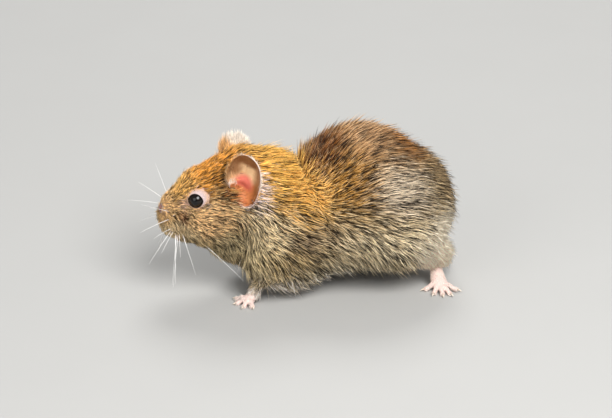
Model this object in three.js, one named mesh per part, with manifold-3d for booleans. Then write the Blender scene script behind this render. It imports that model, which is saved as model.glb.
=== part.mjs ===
// A bank vole standing still, at life size, in millimetres.
// The nose points along -X, the left side faces -Y, +Z is up and the feet stand on z = 0.
// The coat's outer surface is where a smooth union of named body masses ends. The legs, feet,
// ears and tail are tubes and cups set into it, and thin cuts part the body where its parts meet.

import * as THREE from "three";
import { mergeVertices } from "three/addons/utils/BufferGeometryUtils.js";
import Module from "manifold-3d";

const wasm = await Module();
wasm.setup();

// ---------------------------------------------------------------- driving dimensions

const EAR_LENGTH = 16.4; // from the lowest point of the ear's rim, down in the fur, to its tip
const EAR_HALF_WIDTH = 4.5;
const EAR_THICKNESS = 0.8;
const EYE_RADIUS = 2.15;
const EYE_DEPTH = 0.8; // from the coat's surface in to the eyeball's middle
const TAIL_BASE_RADIUS = 1.9;
const TAIL_TIP_RADIUS = 0.55;
const DIGIT_RADIUS = 0.58;
const KNUCKLE_RISE = 0.45;
const CLAW_LENGTH = 1.7;
const CLAW_RADIUS = 0.36;
const CLAW_SIDES = 5;
const CLAW_DROP = 0.3; // how far a claw points down for each unit that it points forward
const HEAD_TURN = 2.5; // degrees to the animal's right
const CUT = 0.3; // gap left where two parts meet
const COAT_BLEND = 0.9; // how widely neighbouring masses melt into each other

const vec = (x, y, z) => new THREE.Vector3(x, y, z);

// ---------------------------------------------------------------- the head's own frame

const NECK_PIVOT = vec(-11, 0, 0); // the head turns about the upright line through this point
const UP = vec(0, 0, 1);
const turn = (p, degrees) =>
  p.clone().sub(NECK_PIVOT).applyAxisAngle(UP, THREE.MathUtils.degToRad(degrees)).add(NECK_PIVOT);
const fromHead = (p) => turn(p, -HEAD_TURN);
const toHead = (p) => turn(p, HEAD_TURN);

// ---------------------------------------------------------------- body masses

// Each mass is an ellipsoid: its middle, its radii and whether it comes once on the midline or
// as a left and right pair. Masses of the head are placed in the head's own frame.
const HEAD_MASSES = [
  { name: "nose", at: [-38.0, 0, 25.2], radii: [2.9, 2.9, 3.3] },
  { name: "muzzle", at: [-33.6, 0, 25.2], radii: [6.4, 5.4, 6.2] },
  { name: "whisker pad", at: [-37.6, 2.9, 22.1], radii: [3.6, 3.0, 3.6], pair: true },
  { name: "chin", at: [-32.4, 0, 18.8], radii: [5.6, 4.4, 3.4] },
  { name: "brow", at: [-28.8, 0, 29.8], radii: [7.4, 6.8, 6.6] },
  { name: "cheek", at: [-27.2, 4.6, 22.0], radii: [8.0, 6.3, 7.4], pair: true },
  { name: "skull", at: [-20.6, 0, 27.8], radii: [9.2, 10.2, 11.0] },
  { name: "throat", at: [-20.0, 0, 16.2], radii: [9.4, 9.0, 8.0] },
  { name: "crest", at: [-18.0, 0, 34.6], radii: [7.5, 6.5, 8.0] },
  { name: "forehead", at: [-24.2, 0, 33.0], radii: [6.4, 6.0, 6.2] },
];
const TRUNK_MASSES = [
  { name: "neck", at: [-12.0, 0, 25.0], radii: [11.5, 13.2, 15.0] },
  { name: "shoulder", at: [-6.4, 8.4, 15.2], radii: [12.4, 8.4, 12.6], pair: true },
  { name: "breast", at: [-13.8, 7.6, 11.4], radii: [6.4, 6.0, 6.9], pair: true },
  { name: "chest", at: [-3.0, 0, 19.2], radii: [15.0, 15.4, 15.8] },
  { name: "belly", at: [6.0, 0, 15.6], radii: [16.0, 15.0, 11.6] },
  { name: "loin", at: [13.6, 0, 24.4], radii: [19.2, 18.0, 20.6] },
  { name: "rump", at: [24.9, 0, 20.6], radii: [14.8, 15.4, 17.4] },
  { name: "haunch", at: [22.0, 10.0, 17.0], radii: [13.2, 9.0, 11.2], pair: true },
];

// A pair becomes two masses, and a head mass keeps a mark that its frame is the head's.
const expand = (masses, inHead) =>
  masses.flatMap(({ at: [x, y, z], radii, pair }) =>
    (pair ? [-1, 1] : [1]).map((side) => ({
      middle: vec(x, side * y, z),
      radii: vec(...radii),
      inHead,
    })),
  );
const MASSES = [...expand(HEAD_MASSES, true), ...expand(TRUNK_MASSES, false)];

// Near distance from a point to an ellipsoid's surface, negative inside.
function ellipsoidDistance(point, { middle, radii }) {
  const scaled = point.clone().sub(middle).divide(radii);
  const reach = scaled.length();
  const slope = scaled.divide(radii).length() + 1e-9;
  return (reach * (reach - 1)) / slope;
}

// Distance from a point to the coat: the smooth least of its distances to all the masses.
function coatDistance(point) {
  const inHead = toHead(point);
  const sum = MASSES.reduce((total, mass) => {
    const distance = ellipsoidDistance(mass.inHead ? inHead : point, mass);
    return total + Math.exp(-distance / COAT_BLEND);
  }, 0);
  return -COAT_BLEND * Math.log(sum);
}

// ---------------------------------------------------------------- meshes and solids

// A grid of points wrapped round into a tube, with one point closing each end.
function closedTube(first, rings, last) {
  const sides = rings[0].length;
  const points = [first, ...rings.flat(), last];
  const at = (ring, side) => 1 + ring * sides + (side % sides);
  const faces = [];
  for (let side = 0; side < sides; side++) {
    faces.push(0, at(0, side + 1), at(0, side));
    for (let ring = 0; ring + 1 < rings.length; ring++) {
      faces.push(at(ring, side), at(ring, side + 1), at(ring + 1, side + 1));
      faces.push(at(ring, side), at(ring + 1, side + 1), at(ring + 1, side));
    }
    faces.push(points.length - 1, at(rings.length - 1, side), at(rings.length - 1, side + 1));
  }
  return new THREE.BufferGeometry().setFromPoints(points).setIndex(faces);
}

// The closed solid of a geometry, turned the right way out.
function solid(geometry) {
  const bare = geometry.clone();
  bare.deleteAttribute("normal");
  bare.deleteAttribute("uv");
  const { index, attributes } = mergeVertices(bare, 1e-4);
  const triVerts = new Uint32Array(index.array);
  const vertProperties = new Float32Array(attributes.position.array);
  const made = new wasm.Manifold(new wasm.Mesh({ numProp: 3, vertProperties, triVerts }));
  if (made.volume() > 0) return made;
  for (let i = 0; i < triVerts.length; i += 3)
    [triVerts[i + 1], triVerts[i + 2]] = [triVerts[i + 2], triVerts[i + 1]];
  return new wasm.Manifold(new wasm.Mesh({ numProp: 3, vertProperties, triVerts }));
}

const join = (solids) => solids.reduce((all, one) => all.add(one));

const ELLIPSOID_FACETS = 16;
const HALF_SPACE_SIZE = 300;

// An ellipsoid as a solid, with its radii grown by a gap.
function ellipsoid(middle, radii, gap = 0, sides = ELLIPSOID_FACETS) {
  const geometry = new THREE.SphereGeometry(1, sides, sides / 2);
  geometry.scale(radii.x + gap, radii.y + gap, radii.z + gap);
  geometry.translate(middle.x, middle.y, middle.z);
  return solid(geometry);
}

// Everything on the far side of a plane, as a large box.
function beyond(point, normal, gap = 0) {
  const geometry = new THREE.BoxGeometry(HALF_SPACE_SIZE, HALF_SPACE_SIZE, HALF_SPACE_SIZE);
  geometry.translate(0, 0, HALF_SPACE_SIZE / 2 - gap);
  geometry.applyQuaternion(new THREE.Quaternion().setFromUnitVectors(UP, normal.clone().normalize()));
  geometry.translate(point.x, point.y, point.z);
  return solid(geometry);
}

// ---------------------------------------------------------------- coat surface

// Rays leave this line of core points, and each stops where the coat does.
const CORE = [
  fromHead(vec(-34, 0, 26.6)),
  fromHead(vec(-23, 0, 27)),
  vec(-12, 0, 25),
  vec(-1, 0, 21),
  vec(15, 0, 23),
  vec(29.5, 0, 19.5),
];
const CORE_LINE = new THREE.CatmullRomCurve3(CORE);
const END_RINGS = 5; // rings on each rounded end
const HEAD_RINGS = 12;
const TRUNK_RINGS = 12;
const HEAD_SHARE = 0.42; // how much of the core line the head and neck take
const SPOKES = 24;

const MARCH_STEPS = 60;
const MARCH_SHARE = 0.8; // share of the distance to the coat that each step takes

// Distance along a ray at which the coat, grown by a gap, ends.
function rayLength(origin, direction, gap) {
  let length = 0;
  for (let step = 0; step < MARCH_STEPS; step++) {
    const point = origin.clone().addScaledVector(direction, length);
    length += MARCH_SHARE * (gap - coatDistance(point));
  }
  return length;
}

// One ring of the coat: rays from a core point, leaning back or forward along the core line.
function coatRing(share, lean, gap) {
  const origin = CORE_LINE.getPointAt(share);
  const ahead = CORE_LINE.getTangentAt(share);
  const side = UP.clone().cross(ahead).normalize();
  const rise = ahead.clone().cross(side);
  return Array.from({ length: SPOKES }, (_, i) => {
    const angle = (2 * Math.PI * i) / SPOKES;
    const out = rise.clone().multiplyScalar(Math.cos(angle)).addScaledVector(side, Math.sin(angle));
    const direction = out.multiplyScalar(Math.cos(lean)).addScaledVector(ahead, Math.sin(lean));
    return origin.clone().addScaledVector(direction, rayLength(origin, direction, gap));
  });
}

function coat(gap = 0) {
  const rings = [];
  for (let i = 1; i < END_RINGS; i++)
    rings.push(coatRing(0, (-Math.PI / 2) * (1 - i / END_RINGS), gap));
  for (let i = 0; i < HEAD_RINGS; i++) rings.push(coatRing((HEAD_SHARE * i) / HEAD_RINGS, 0, gap));
  for (let i = 0; i < TRUNK_RINGS; i++)
    rings.push(coatRing(HEAD_SHARE + ((1 - HEAD_SHARE) * i) / TRUNK_RINGS, 0, gap));
  for (let i = 0; i < END_RINGS; i++) rings.push(coatRing(1, ((Math.PI / 2) * i) / END_RINGS, gap));
  const pole = (share, way) => {
    const origin = CORE_LINE.getPointAt(share);
    const direction = CORE_LINE.getTangentAt(share).multiplyScalar(way);
    return origin.clone().addScaledVector(direction, rayLength(origin, direction, gap));
  };
  return solid(closedTube(pole(0, -1), rings, pole(1, 1)));
}

// ---------------------------------------------------------------- tubes

const UPRIGHT = 0.95; // above this slope a tube takes its sideways direction from the Y axis

// A tube through a few points, with a radius at each, rounded at both ends.
// Flat is how high its section is against its width.
function tube(points, radii, { sides = 10, steps = 10, gap = 0, flat = 1 } = {}) {
  const line = new THREE.CatmullRomCurve3(points);
  const radiusAt = (share) => {
    const place = share * (radii.length - 1);
    const low = Math.min(Math.floor(place), radii.length - 2);
    return THREE.MathUtils.lerp(radii[low], radii[low + 1], place - low) + gap;
  };
  const ring = (share, along, radius) => {
    const ahead = line.getTangent(share);
    const across = (Math.abs(ahead.z) > UPRIGHT ? vec(0, 1, 0) : UP).clone().cross(ahead).normalize();
    const rise = ahead.clone().cross(across);
    const middle = line.getPoint(share).addScaledVector(ahead, along);
    return Array.from({ length: sides }, (_, i) => {
      const angle = (2 * Math.PI * i) / sides;
      return middle
        .clone()
        .addScaledVector(across, radius * Math.cos(angle))
        .addScaledVector(rise, flat * radius * Math.sin(angle));
    });
  };
  // One smaller ring rounds each end, halfway between the last full ring and the tip.
  const rounding = Math.SQRT1_2;
  const rings = [
    ring(0, -rounding * radiusAt(0), rounding * radiusAt(0)),
    ...Array.from({ length: steps + 1 }, (_, i) => ring(i / steps, 0, radiusAt(i / steps))),
    ring(1, rounding * radiusAt(1), rounding * radiusAt(1)),
  ];
  const start = line.getPoint(0).addScaledVector(line.getTangent(0), -radiusAt(0));
  const end = line.getPoint(1).addScaledVector(line.getTangent(1), radiusAt(1));
  return solid(closedTube(start, rings, end));
}

const DIGIT_SHARES = [0.9, 1, 0.95]; // radius at the root, knuckle and tip, of the digit's radius
const DIGIT_FACETS = { sides: 5, steps: 2 };
const CLAW_REACH = 0.2; // how far beyond the toe's end the claw's middle lies, of its length

// A digit: a knuckled toe from its root to its tip, with a claw that points down to the floor.
function digit(root, tip) {
  const ahead = tip.clone().sub(root).setZ(0).normalize();
  const knuckle = root.clone().lerp(tip, 0.5).add(vec(0, 0, KNUCKLE_RISE));
  const radii = DIGIT_SHARES.map((share) => share * DIGIT_RADIUS);
  const toe = tube([root, knuckle, tip], radii, DIGIT_FACETS);
  const claw = new THREE.ConeGeometry(CLAW_RADIUS, CLAW_LENGTH, CLAW_SIDES);
  const pointing = ahead.clone().add(vec(0, 0, -CLAW_DROP)).normalize();
  claw.applyQuaternion(new THREE.Quaternion().setFromUnitVectors(vec(0, 1, 0), pointing));
  const middle = tip.clone().addScaledVector(pointing, DIGIT_RADIUS + CLAW_LENGTH * CLAW_REACH);
  claw.translate(middle.x, middle.y, middle.z + CLAW_RADIUS);
  return toe.add(solid(claw));
}

// ---------------------------------------------------------------- legs and feet

// Each leg: the ellipsoid that parts its upper part from the trunk, its lower joints with the
// radius at each, the joint where the foot is cut off, the foot's sole and the tips of its toes.
const LEGS = {
  foreleg_left: {
    upper: { middle: vec(-7.5, -14.5, 11.5), radii: vec(10.8, 11.2, 10.8) },
    joints: [vec(-9.5, -11.4, 10), vec(-13.8, -11.2, 8.4), vec(-16.2, -10.2, 5.6), vec(-17.5, -9.6, 2.8)],
    radii: [3.8, 2.6, 1.65, 1.35],
    foot: "forepaw_left",
    sole: [vec(-17.5, -9.5, 2.5), vec(-19.0, -10.3, 1.2)],
    soleRadii: [1.4, 1.7],
    toes: [vec(-21.8, -8.1, 0.5), vec(-22.2, -10.7, 0.5), vec(-20.9, -12.9, 0.5), vec(-18.8, -13.6, 0.5)],
  },
  foreleg_right: {
    upper: { middle: vec(-4.5, 14.5, 11.5), radii: vec(10.8, 11.2, 10.8) },
    joints: [vec(-1.0, 11, 10), vec(-3.1, 11, 7.6), vec(-5.1, 10.4, 5), vec(-6.3, 9.8, 2.8)],
    radii: [3.8, 2.6, 1.65, 1.35],
    foot: "forepaw_right",
    sole: [vec(-6.2, 9.7, 2.5), vec(-7.9, 10.1, 1.2)],
    soleRadii: [1.4, 1.7],
    toes: [vec(-10.3, 7.6, 0.5), vec(-11.6, 9.2, 0.5), vec(-11.4, 11.2, 0.5), vec(-9.6, 12.8, 0.5)],
  },
  hindleg_left: {
    upper: { middle: vec(22.5, -15, 14.2), radii: vec(13, 12.5, 12.4) },
    joints: [vec(25, -9, 12), vec(30, -8.6, 10.4), vec(33.6, -6.6, 8.8), vec(34.2, -5.0, 6.4)],
    radii: [5.0, 4.2, 3.0, 1.9],
    foot: "hindfoot_left",
    sole: [vec(34.0, -4.8, 6.2), vec(33.4, -8.4, 3.9), vec(33.4, -12.0, 1.5)],
    soleRadii: [1.85, 1.75, 2.35],
    toes: [
      vec(29.6, -12.8, 0.5),
      vec(31.2, -15.6, 0.5),
      vec(33.2, -16.8, 0.5),
      vec(35.2, -16.7, 0.5),
      vec(37.3, -14.8, 0.5),
    ],
  },
  hindleg_right: {
    upper: { middle: vec(20.5, 15, 13.6), radii: vec(13, 12.5, 12.4) },
    joints: [vec(20, 10, 10), vec(23, 11, 8), vec(26, 12.2, 5), vec(26.4, 12.6, 2.6)],
    radii: [5.0, 4.2, 2.8, 1.9],
    foot: "hindfoot_right",
    sole: [vec(26.6, 12.7, 1.9), vec(22, 13.4, 1.7), vec(17, 14, 1.4)],
    soleRadii: [1.85, 1.6, 2.2],
    toes: [
      vec(15.6, 11.1, 0.5),
      vec(12.7, 12.2, 0.5),
      vec(11.4, 14.2, 0.5),
      vec(11.8, 16.4, 0.5),
      vec(14.4, 17.7, 0.5),
    ],
  },
};
const TOE_ROOT_SPREAD = 0.25; // how far each toe's root stands from the sole's end towards its tip
const TOE_ROOT_HEIGHT = 0.85;
const SHANK_FACETS = { sides: 10, steps: 5 };
const SOLE_FACETS = { sides: 8, steps: 2, flat: 0.78 };

// The floor is at z = 0, and what would reach below it is cut to a small flat.
const aboveFloor = (made) => made.subtract(beyond(vec(0, 0, 0), vec(0, 0, -1)));

// A whole leg as two solids, the part that ends at the wrist or ankle and the foot, with the
// room that the upper part takes out of the trunk.
function legParts(coatSolid, { upper, joints, radii, sole, soleRadii, toes }) {
  const thigh = coatSolid.intersect(ellipsoid(upper.middle, upper.radii));
  const shank = tube(joints, radii, SHANK_FACETS);
  const room = join([
    ellipsoid(upper.middle, upper.radii, CUT),
    tube(joints, radii, { ...SHANK_FACETS, gap: CUT }),
    shank,
  ]);

  // The cut halves the angle between the shank and the foot, like a mitre.
  const end = joints.at(-1);
  const down = end.clone().sub(joints.at(-2)).normalize();
  const forth = sole[1].clone().sub(sole[0]).normalize();
  const cutPoint = end.clone().addScaledVector(down, -radii.at(-1) / 2);
  const cutNormal = down.clone().add(forth).normalize();

  const ball = sole.at(-1);
  const digits = toes.map((tip) => {
    const root = ball.clone().lerp(tip, TOE_ROOT_SPREAD);
    root.z = Math.max(root.z, TOE_ROOT_HEIGHT);
    return digit(root, tip);
  });
  const pad = tube(sole, soleRadii, SOLE_FACETS);
  const foot = join([pad, ...digits]).subtract(beyond(cutPoint, cutNormal.clone().negate(), CUT));
  const thighRoom = ellipsoid(upper.middle, upper.radii, CUT).intersect(coatSolid);
  return {
    upper: aboveFloor(thigh.add(shank).subtract(beyond(cutPoint, cutNormal))),
    foot: aboveFloor(foot.subtract(thighRoom)),
    room,
  };
}

// ---------------------------------------------------------------- tail

// It leaves the rump low down, turns to the right side and lies along the floor beside the body.
const TAIL_LINE = [
  vec(33, 3, 13),
  vec(37.6, 5.2, 10),
  vec(38.6, 9.6, 5.2),
  vec(36.6, 15.2, 2.2),
  vec(31.6, 19.8, 1.15),
  vec(25, 22.2, 0.85),
  vec(17.4, 22.8, 0.62),
  vec(10, 21.8, 0.42),
];
const TAIL_SPLIT = 0.52; // share of the tail's line at which its outer length begins
const TAIL_SPLIT_REACH = 35; // the outer length lies wholly on the nose's side of this X
const TAIL_FACETS = { sides: 8, steps: 18 };

function tailParts() {
  const shares = TAIL_LINE.map((_, i) => i / (TAIL_LINE.length - 1));
  const radii = shares.map((share) => THREE.MathUtils.lerp(TAIL_BASE_RADIUS, TAIL_TIP_RADIUS, share));
  const make = (gap) => aboveFloor(tube(TAIL_LINE, radii, { ...TAIL_FACETS, gap }));
  const line = new THREE.CatmullRomCurve3(TAIL_LINE);
  const point = line.getPoint(TAIL_SPLIT);
  const ahead = line.getTangent(TAIL_SPLIT);
  // A plane alone would also cut the root, where the tail bends round, so the cut stays near.
  const nearSide = beyond(vec(TAIL_SPLIT_REACH, 0, 0), vec(-1, 0, 0));
  const outer = (gap) => beyond(point, ahead, gap).intersect(nearSide);
  const whole = make(0);
  return {
    tail_base: whole.subtract(outer(CUT)),
    tail_end: whole.intersect(outer(0)),
    room: make(CUT),
  };
}

// ---------------------------------------------------------------- ears

// Each ear is a cupped oval: its rim is an ellipse, and the hollow is deepest in the middle and
// low down. It is a closed shell, made of rings that go from the middle of the hollow out to the
// rim and back to the middle of its outer face. Its opening faces outward and forward.
const EAR_MIDDLE = vec(-19.8, -9.6, 35.6);
const EAR_LEAN_BACK = 12; // degrees that the tip leans towards the rump
const EAR_LEAN_OUT = 4; // degrees that the tip leans away from the head
const EAR_FACING = 24; // degrees that the opening is turned forward of straight out
const EAR_CUP = 3.2; // depth of the hollow
const EAR_CUP_ROUNDNESS = 2.4; // the larger, the flatter the hollow's middle and the steeper its rim
const EAR_CUP_LOWNESS = 0.35; // how much deeper the hollow is low down than high up
const EAR_SHARES = [0.35, 0.68, 0.9, 1];
const EAR_SPOKES = 16;
const EAR_ROOM = 8; // how far the air in front of an ear is kept clear of the coat

// A point of a face of the ear: share and angle place it within the rim, depth is how far the
// face lies behind the inner one and the gap grows the rim. The ear's own frame has x towards
// the rump, y into the head and z up.
function earPoint(share, angle, depth, gap = 0) {
  const across = (EAR_HALF_WIDTH + gap) * share * Math.cos(angle);
  const up = (EAR_LENGTH / 2 + gap) * share * Math.sin(angle);
  const depthHere = EAR_CUP * (1 - EAR_CUP_LOWNESS * Math.sin(angle) * share);
  const hollow = depthHere * (1 - share ** EAR_CUP_ROUNDNESS);
  return vec(across, hollow + depth, up);
}

// The point on one ear, left (-1) or right (1), that answers to a point in the ear's own frame.
function placeEar(p, side) {
  const degrees = THREE.MathUtils.degToRad;
  p.applyAxisAngle(vec(1, 0, 0), degrees(EAR_LEAN_OUT));
  p.applyAxisAngle(vec(0, 1, 0), degrees(EAR_LEAN_BACK));
  p.applyAxisAngle(UP, -degrees(EAR_FACING)).add(EAR_MIDDLE);
  return fromHead(vec(p.x, -side * p.y, p.z));
}

// The closed solid between a front layer, which may be flat, and a back layer of the ear.
function earSolid(side, { front = 0, back = EAR_THICKNESS, gap = 0, flatFront = false } = {}) {
  const point = (share, angle, depth, flat) => {
    const p = earPoint(share, angle, depth, gap);
    if (flat) p.y = depth;
    return placeEar(p, side);
  };
  const ring = (share, depth, flat) =>
    Array.from({ length: EAR_SPOKES }, (_, i) =>
      point(share, (2 * Math.PI * i) / EAR_SPOKES, depth, flat),
    );
  const rings = [
    ...EAR_SHARES.map((share) => ring(share, front, flatFront)),
    ...EAR_SHARES.toReversed().map((share) => ring(share, back, false)),
  ];
  return solid(closedTube(point(0, 0, front, flatFront), rings, point(0, 0, back, false)));
}

// The room that an ear and the air in front of its hollow take out of the coat.
const earRoom = (side) =>
  earSolid(side, { front: -EAR_ROOM, back: EAR_THICKNESS + CUT, gap: CUT, flatFront: true });

// ---------------------------------------------------------------- nose and eyes

const NOSE_MIDDLE = vec(-40.3, 0, 25.2);
const NOSE_RADII = vec(1.15, 1.5, 1.25);
const EYE_LEVEL = vec(-33.2, 0, 29.6); // midway between the eyes, in the head's frame
const EYE_BACK = 0.25; // how far back each eye lies from that point for each unit it lies out
const NOSE_FACETS = 10;
const EYE_FACETS = 14;
const nosePad = (gap) => ellipsoid(fromHead(NOSE_MIDDLE), NOSE_RADII, gap, NOSE_FACETS);

function eyeball(side, gap) {
  const origin = fromHead(EYE_LEVEL);
  const direction = fromHead(EYE_LEVEL.clone().add(vec(EYE_BACK, side, 0))).sub(origin).normalize();
  const middle = origin.clone().addScaledVector(direction, rayLength(origin, direction, -EYE_DEPTH));
  return ellipsoid(middle, vec(EYE_RADIUS, EYE_RADIUS, EYE_RADIUS), gap, EYE_FACETS);
}

// ---------------------------------------------------------------- parting the body

// Planes that part the head from the neck and the neck from the trunk, facing the nose.
const NECK_FRONT = { point: vec(-15.2, 0, 28), normal: vec(-0.966, 0, 0.259) };
const NECK_BACK = { point: vec(-8.6, 0, 26), normal: vec(-0.946, 0, 0.325) };

function buildParts() {
  const body = coat();
  const bodyGrown = coat(CUT);
  const tail = tailParts();
  const legs = Object.entries(LEGS).map(([name, leg]) => ({ name, leg, ...legParts(body, leg) }));
  const core = body.subtract(join([...legs.map((one) => one.room), tail.room]));
  const headSide = (gap) => beyond(NECK_FRONT.point, NECK_FRONT.normal, gap);
  const neckSide = (gap) => beyond(NECK_BACK.point, NECK_BACK.normal, gap);
  const holes = join([nosePad(CUT), eyeball(-1, CUT), eyeball(1, CUT), earRoom(-1), earRoom(1)]);

  const parts = {
    head: core.intersect(headSide(0)).subtract(holes),
    neck: core.intersect(neckSide(0)).subtract(headSide(CUT)).subtract(holes),
    trunk: core.subtract(neckSide(CUT)),
    nose_pad: nosePad(0),
    ear_left: earSolid(-1),
    ear_right: earSolid(1),
    eye_left: eyeball(-1, 0),
    eye_right: eyeball(1, 0),
  };
  for (const { name, leg, upper, foot } of legs) {
    parts[name] = upper;
    parts[leg.foot] = foot;
  }
  parts.tail_base = tail.tail_base.subtract(bodyGrown);
  parts.tail_end = tail.tail_end;
  return parts;
}

// ---------------------------------------------------------------- materials and the model

const fur = (color) => new THREE.MeshStandardMaterial({ color, roughness: 0.85, metalness: 0 });
const bareSkin = (color) => new THREE.MeshStandardMaterial({ color, roughness: 0.6, metalness: 0 });
const MATERIALS = {
  head: fur(0x9a6f3c),
  neck: fur(0xb9752f),
  trunk: fur(0x8c7048),
  nose_pad: bareSkin(0xc49a8c),
  eye: new THREE.MeshStandardMaterial({ color: 0x0c0806, roughness: 0.08, metalness: 0 }),
  ear: bareSkin(0xc98f7a),
  foreleg: fur(0x948268),
  forepaw: bareSkin(0xdcbfb2),
  hindleg: fur(0x9c8e78),
  hindfoot: bareSkin(0xe3c6ba),
  tail: fur(0x6e5844),
};
const materialOf = (name) => MATERIALS[name] ?? MATERIALS[name.split("_")[0]];

// The largest closed piece of a solid, so that a sliver left by a cut isn't kept.
function largestPiece(made) {
  return made.decompose().reduce((best, one) => (one.volume() > best.volume() ? one : best));
}

function meshOf(name, made) {
  const { numProp, vertProperties, triVerts } = largestPiece(made).getMesh();
  const position = new THREE.BufferAttribute(vertProperties, numProp);
  const geometry = new THREE.BufferGeometry().setAttribute("position", position);
  geometry.setIndex(new THREE.BufferAttribute(triVerts, 1));
  geometry.computeVertexNormals();
  const mesh = new THREE.Mesh(geometry, materialOf(name));
  mesh.name = name;
  return mesh;
}

const vole = new THREE.Group();
for (const [name, made] of Object.entries(buildParts())) vole.add(meshOf(name, made));

// The origin is put under the middle of the whole box.
const middle = new THREE.Box3().setFromObject(vole).getCenter(vec(0, 0, 0));
for (const mesh of vole.children) mesh.position.set(-middle.x, -middle.y, 0);

export default vole;
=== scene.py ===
import math
from functools import lru_cache
from itertools import product

import bpy
import numpy as np
from bpy.props import FloatProperty, FloatVectorProperty, PointerProperty
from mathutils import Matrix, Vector
from mathutils.kdtree import KDTree


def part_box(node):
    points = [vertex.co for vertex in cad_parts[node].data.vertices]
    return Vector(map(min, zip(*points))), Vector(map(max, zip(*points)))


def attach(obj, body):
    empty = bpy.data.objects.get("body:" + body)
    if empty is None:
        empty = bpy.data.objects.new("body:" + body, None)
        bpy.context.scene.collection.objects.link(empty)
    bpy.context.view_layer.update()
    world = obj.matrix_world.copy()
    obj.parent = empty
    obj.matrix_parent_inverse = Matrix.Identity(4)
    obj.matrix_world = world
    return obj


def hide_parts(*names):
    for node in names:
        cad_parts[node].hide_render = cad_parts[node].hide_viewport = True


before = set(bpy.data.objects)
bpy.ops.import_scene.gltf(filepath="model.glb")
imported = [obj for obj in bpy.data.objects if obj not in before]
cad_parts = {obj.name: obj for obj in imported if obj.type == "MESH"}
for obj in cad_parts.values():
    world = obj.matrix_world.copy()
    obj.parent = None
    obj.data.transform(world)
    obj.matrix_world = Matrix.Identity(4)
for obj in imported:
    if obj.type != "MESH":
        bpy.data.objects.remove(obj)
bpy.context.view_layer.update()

bl_info = {
    "name": "Bank Vole",
    "version": (1, 0, 0),
    "blender": (4, 5, 0),
    "location": "3D View > Sidebar > Vole",
    "description": "Skin, coat, eyes, claws and whiskers of a life-size bank vole, and a plain stage",
    "category": "Object",
}

# Shapes are worked out in millimetres in the animal's own frame: the nose points along -X, the
# left side faces -Y, +Z is up and the feet stand on z = 0. to_frame brings them to the packed
# model's frame, which has its origin under the middle of the whole box.
MM = 0.001
UP = np.array([0.0, 0.0, 1.0])

# ---------------------------------------------------------------- small helpers


def unit(vectors):
    """Vectors scaled to length one."""
    return vectors / (np.linalg.norm(vectors, axis=-1, keepdims=True) + 1e-12)


def smoothstep(low, high, value):
    """0 below low, 1 above high and a smooth S between them."""
    t = np.clip((value - low) / (high - low), 0, 1)
    return t * t * (3 - 2 * t)


def bump(value, middle, width):
    """1 at the middle, falling off to both sides: e^-((value - middle) / width)^2."""
    return np.exp(-(((value - middle) / width) ** 2))


def about_axis(points, axis, degrees):
    """Points turned about a coordinate axis through the origin."""
    a, b = (axis + 1) % 3, (axis + 2) % 3
    cos, sin = math.cos(math.radians(degrees)), math.sin(math.radians(degrees))
    turned = np.array(points, float)
    turned[..., a] = cos * points[..., a] - sin * points[..., b]
    turned[..., b] = sin * points[..., a] + cos * points[..., b]
    return turned


def along(vectors, normals):
    """Vectors laid flat on the surface that has these normals."""
    return unit(vectors - (vectors * normals).sum(-1, keepdims=True) * normals)


def smooth_line(joints, count):
    """Points on a centripetal Catmull-Rom curve through the joints, evenly spread in its parameter."""
    p = np.asarray(joints, float)
    p = np.vstack([2 * p[0] - p[1], p, 2 * p[-1] - p[-2]])
    place = np.linspace(0, len(joints) - 1, count)
    low = np.minimum(place.astype(int), len(joints) - 2)
    t = (place - low)[:, None]
    p0, p1, p2, p3 = (p[low + i] for i in range(4))
    d0, d1, d2 = (np.linalg.norm(b - a, axis=1)[:, None] ** 0.5 for a, b in ((p0, p1), (p1, p2), (p2, p3)))
    t1 = ((p1 - p0) / d0 - (p2 - p0) / (d0 + d1) + (p2 - p1) / d1) * d1
    t2 = ((p2 - p1) / d1 - (p3 - p1) / (d1 + d2) + (p3 - p2) / d2) * d1
    c2 = -3 * p1 + 3 * p2 - 2 * t1 - t2
    c3 = 2 * p1 - 2 * p2 + t1 + t2
    return p1 + t1 * t + c2 * t**2 + c3 * t**3


def linear(red, green, blue):
    """A colour as it looks on a screen, 0 to 255, turned by the sRGB curve into the linear colour
    that materials take."""
    c = np.array([red, green, blue]) / 255
    return tuple(float(x) for x in np.where(c <= 0.04045, c / 12.92, ((c + 0.055) / 1.055) ** 2.4))


# ---------------------------------------------------------------- the body's shape

NECK_PIVOT = np.array([-11.0, 0, 0])  # the head turns about the upright line through this point
HEAD_TURN = 2.5  # degrees to the animal's right
COAT_BLEND = 0.9  # how widely neighbouring masses melt into each other

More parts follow.
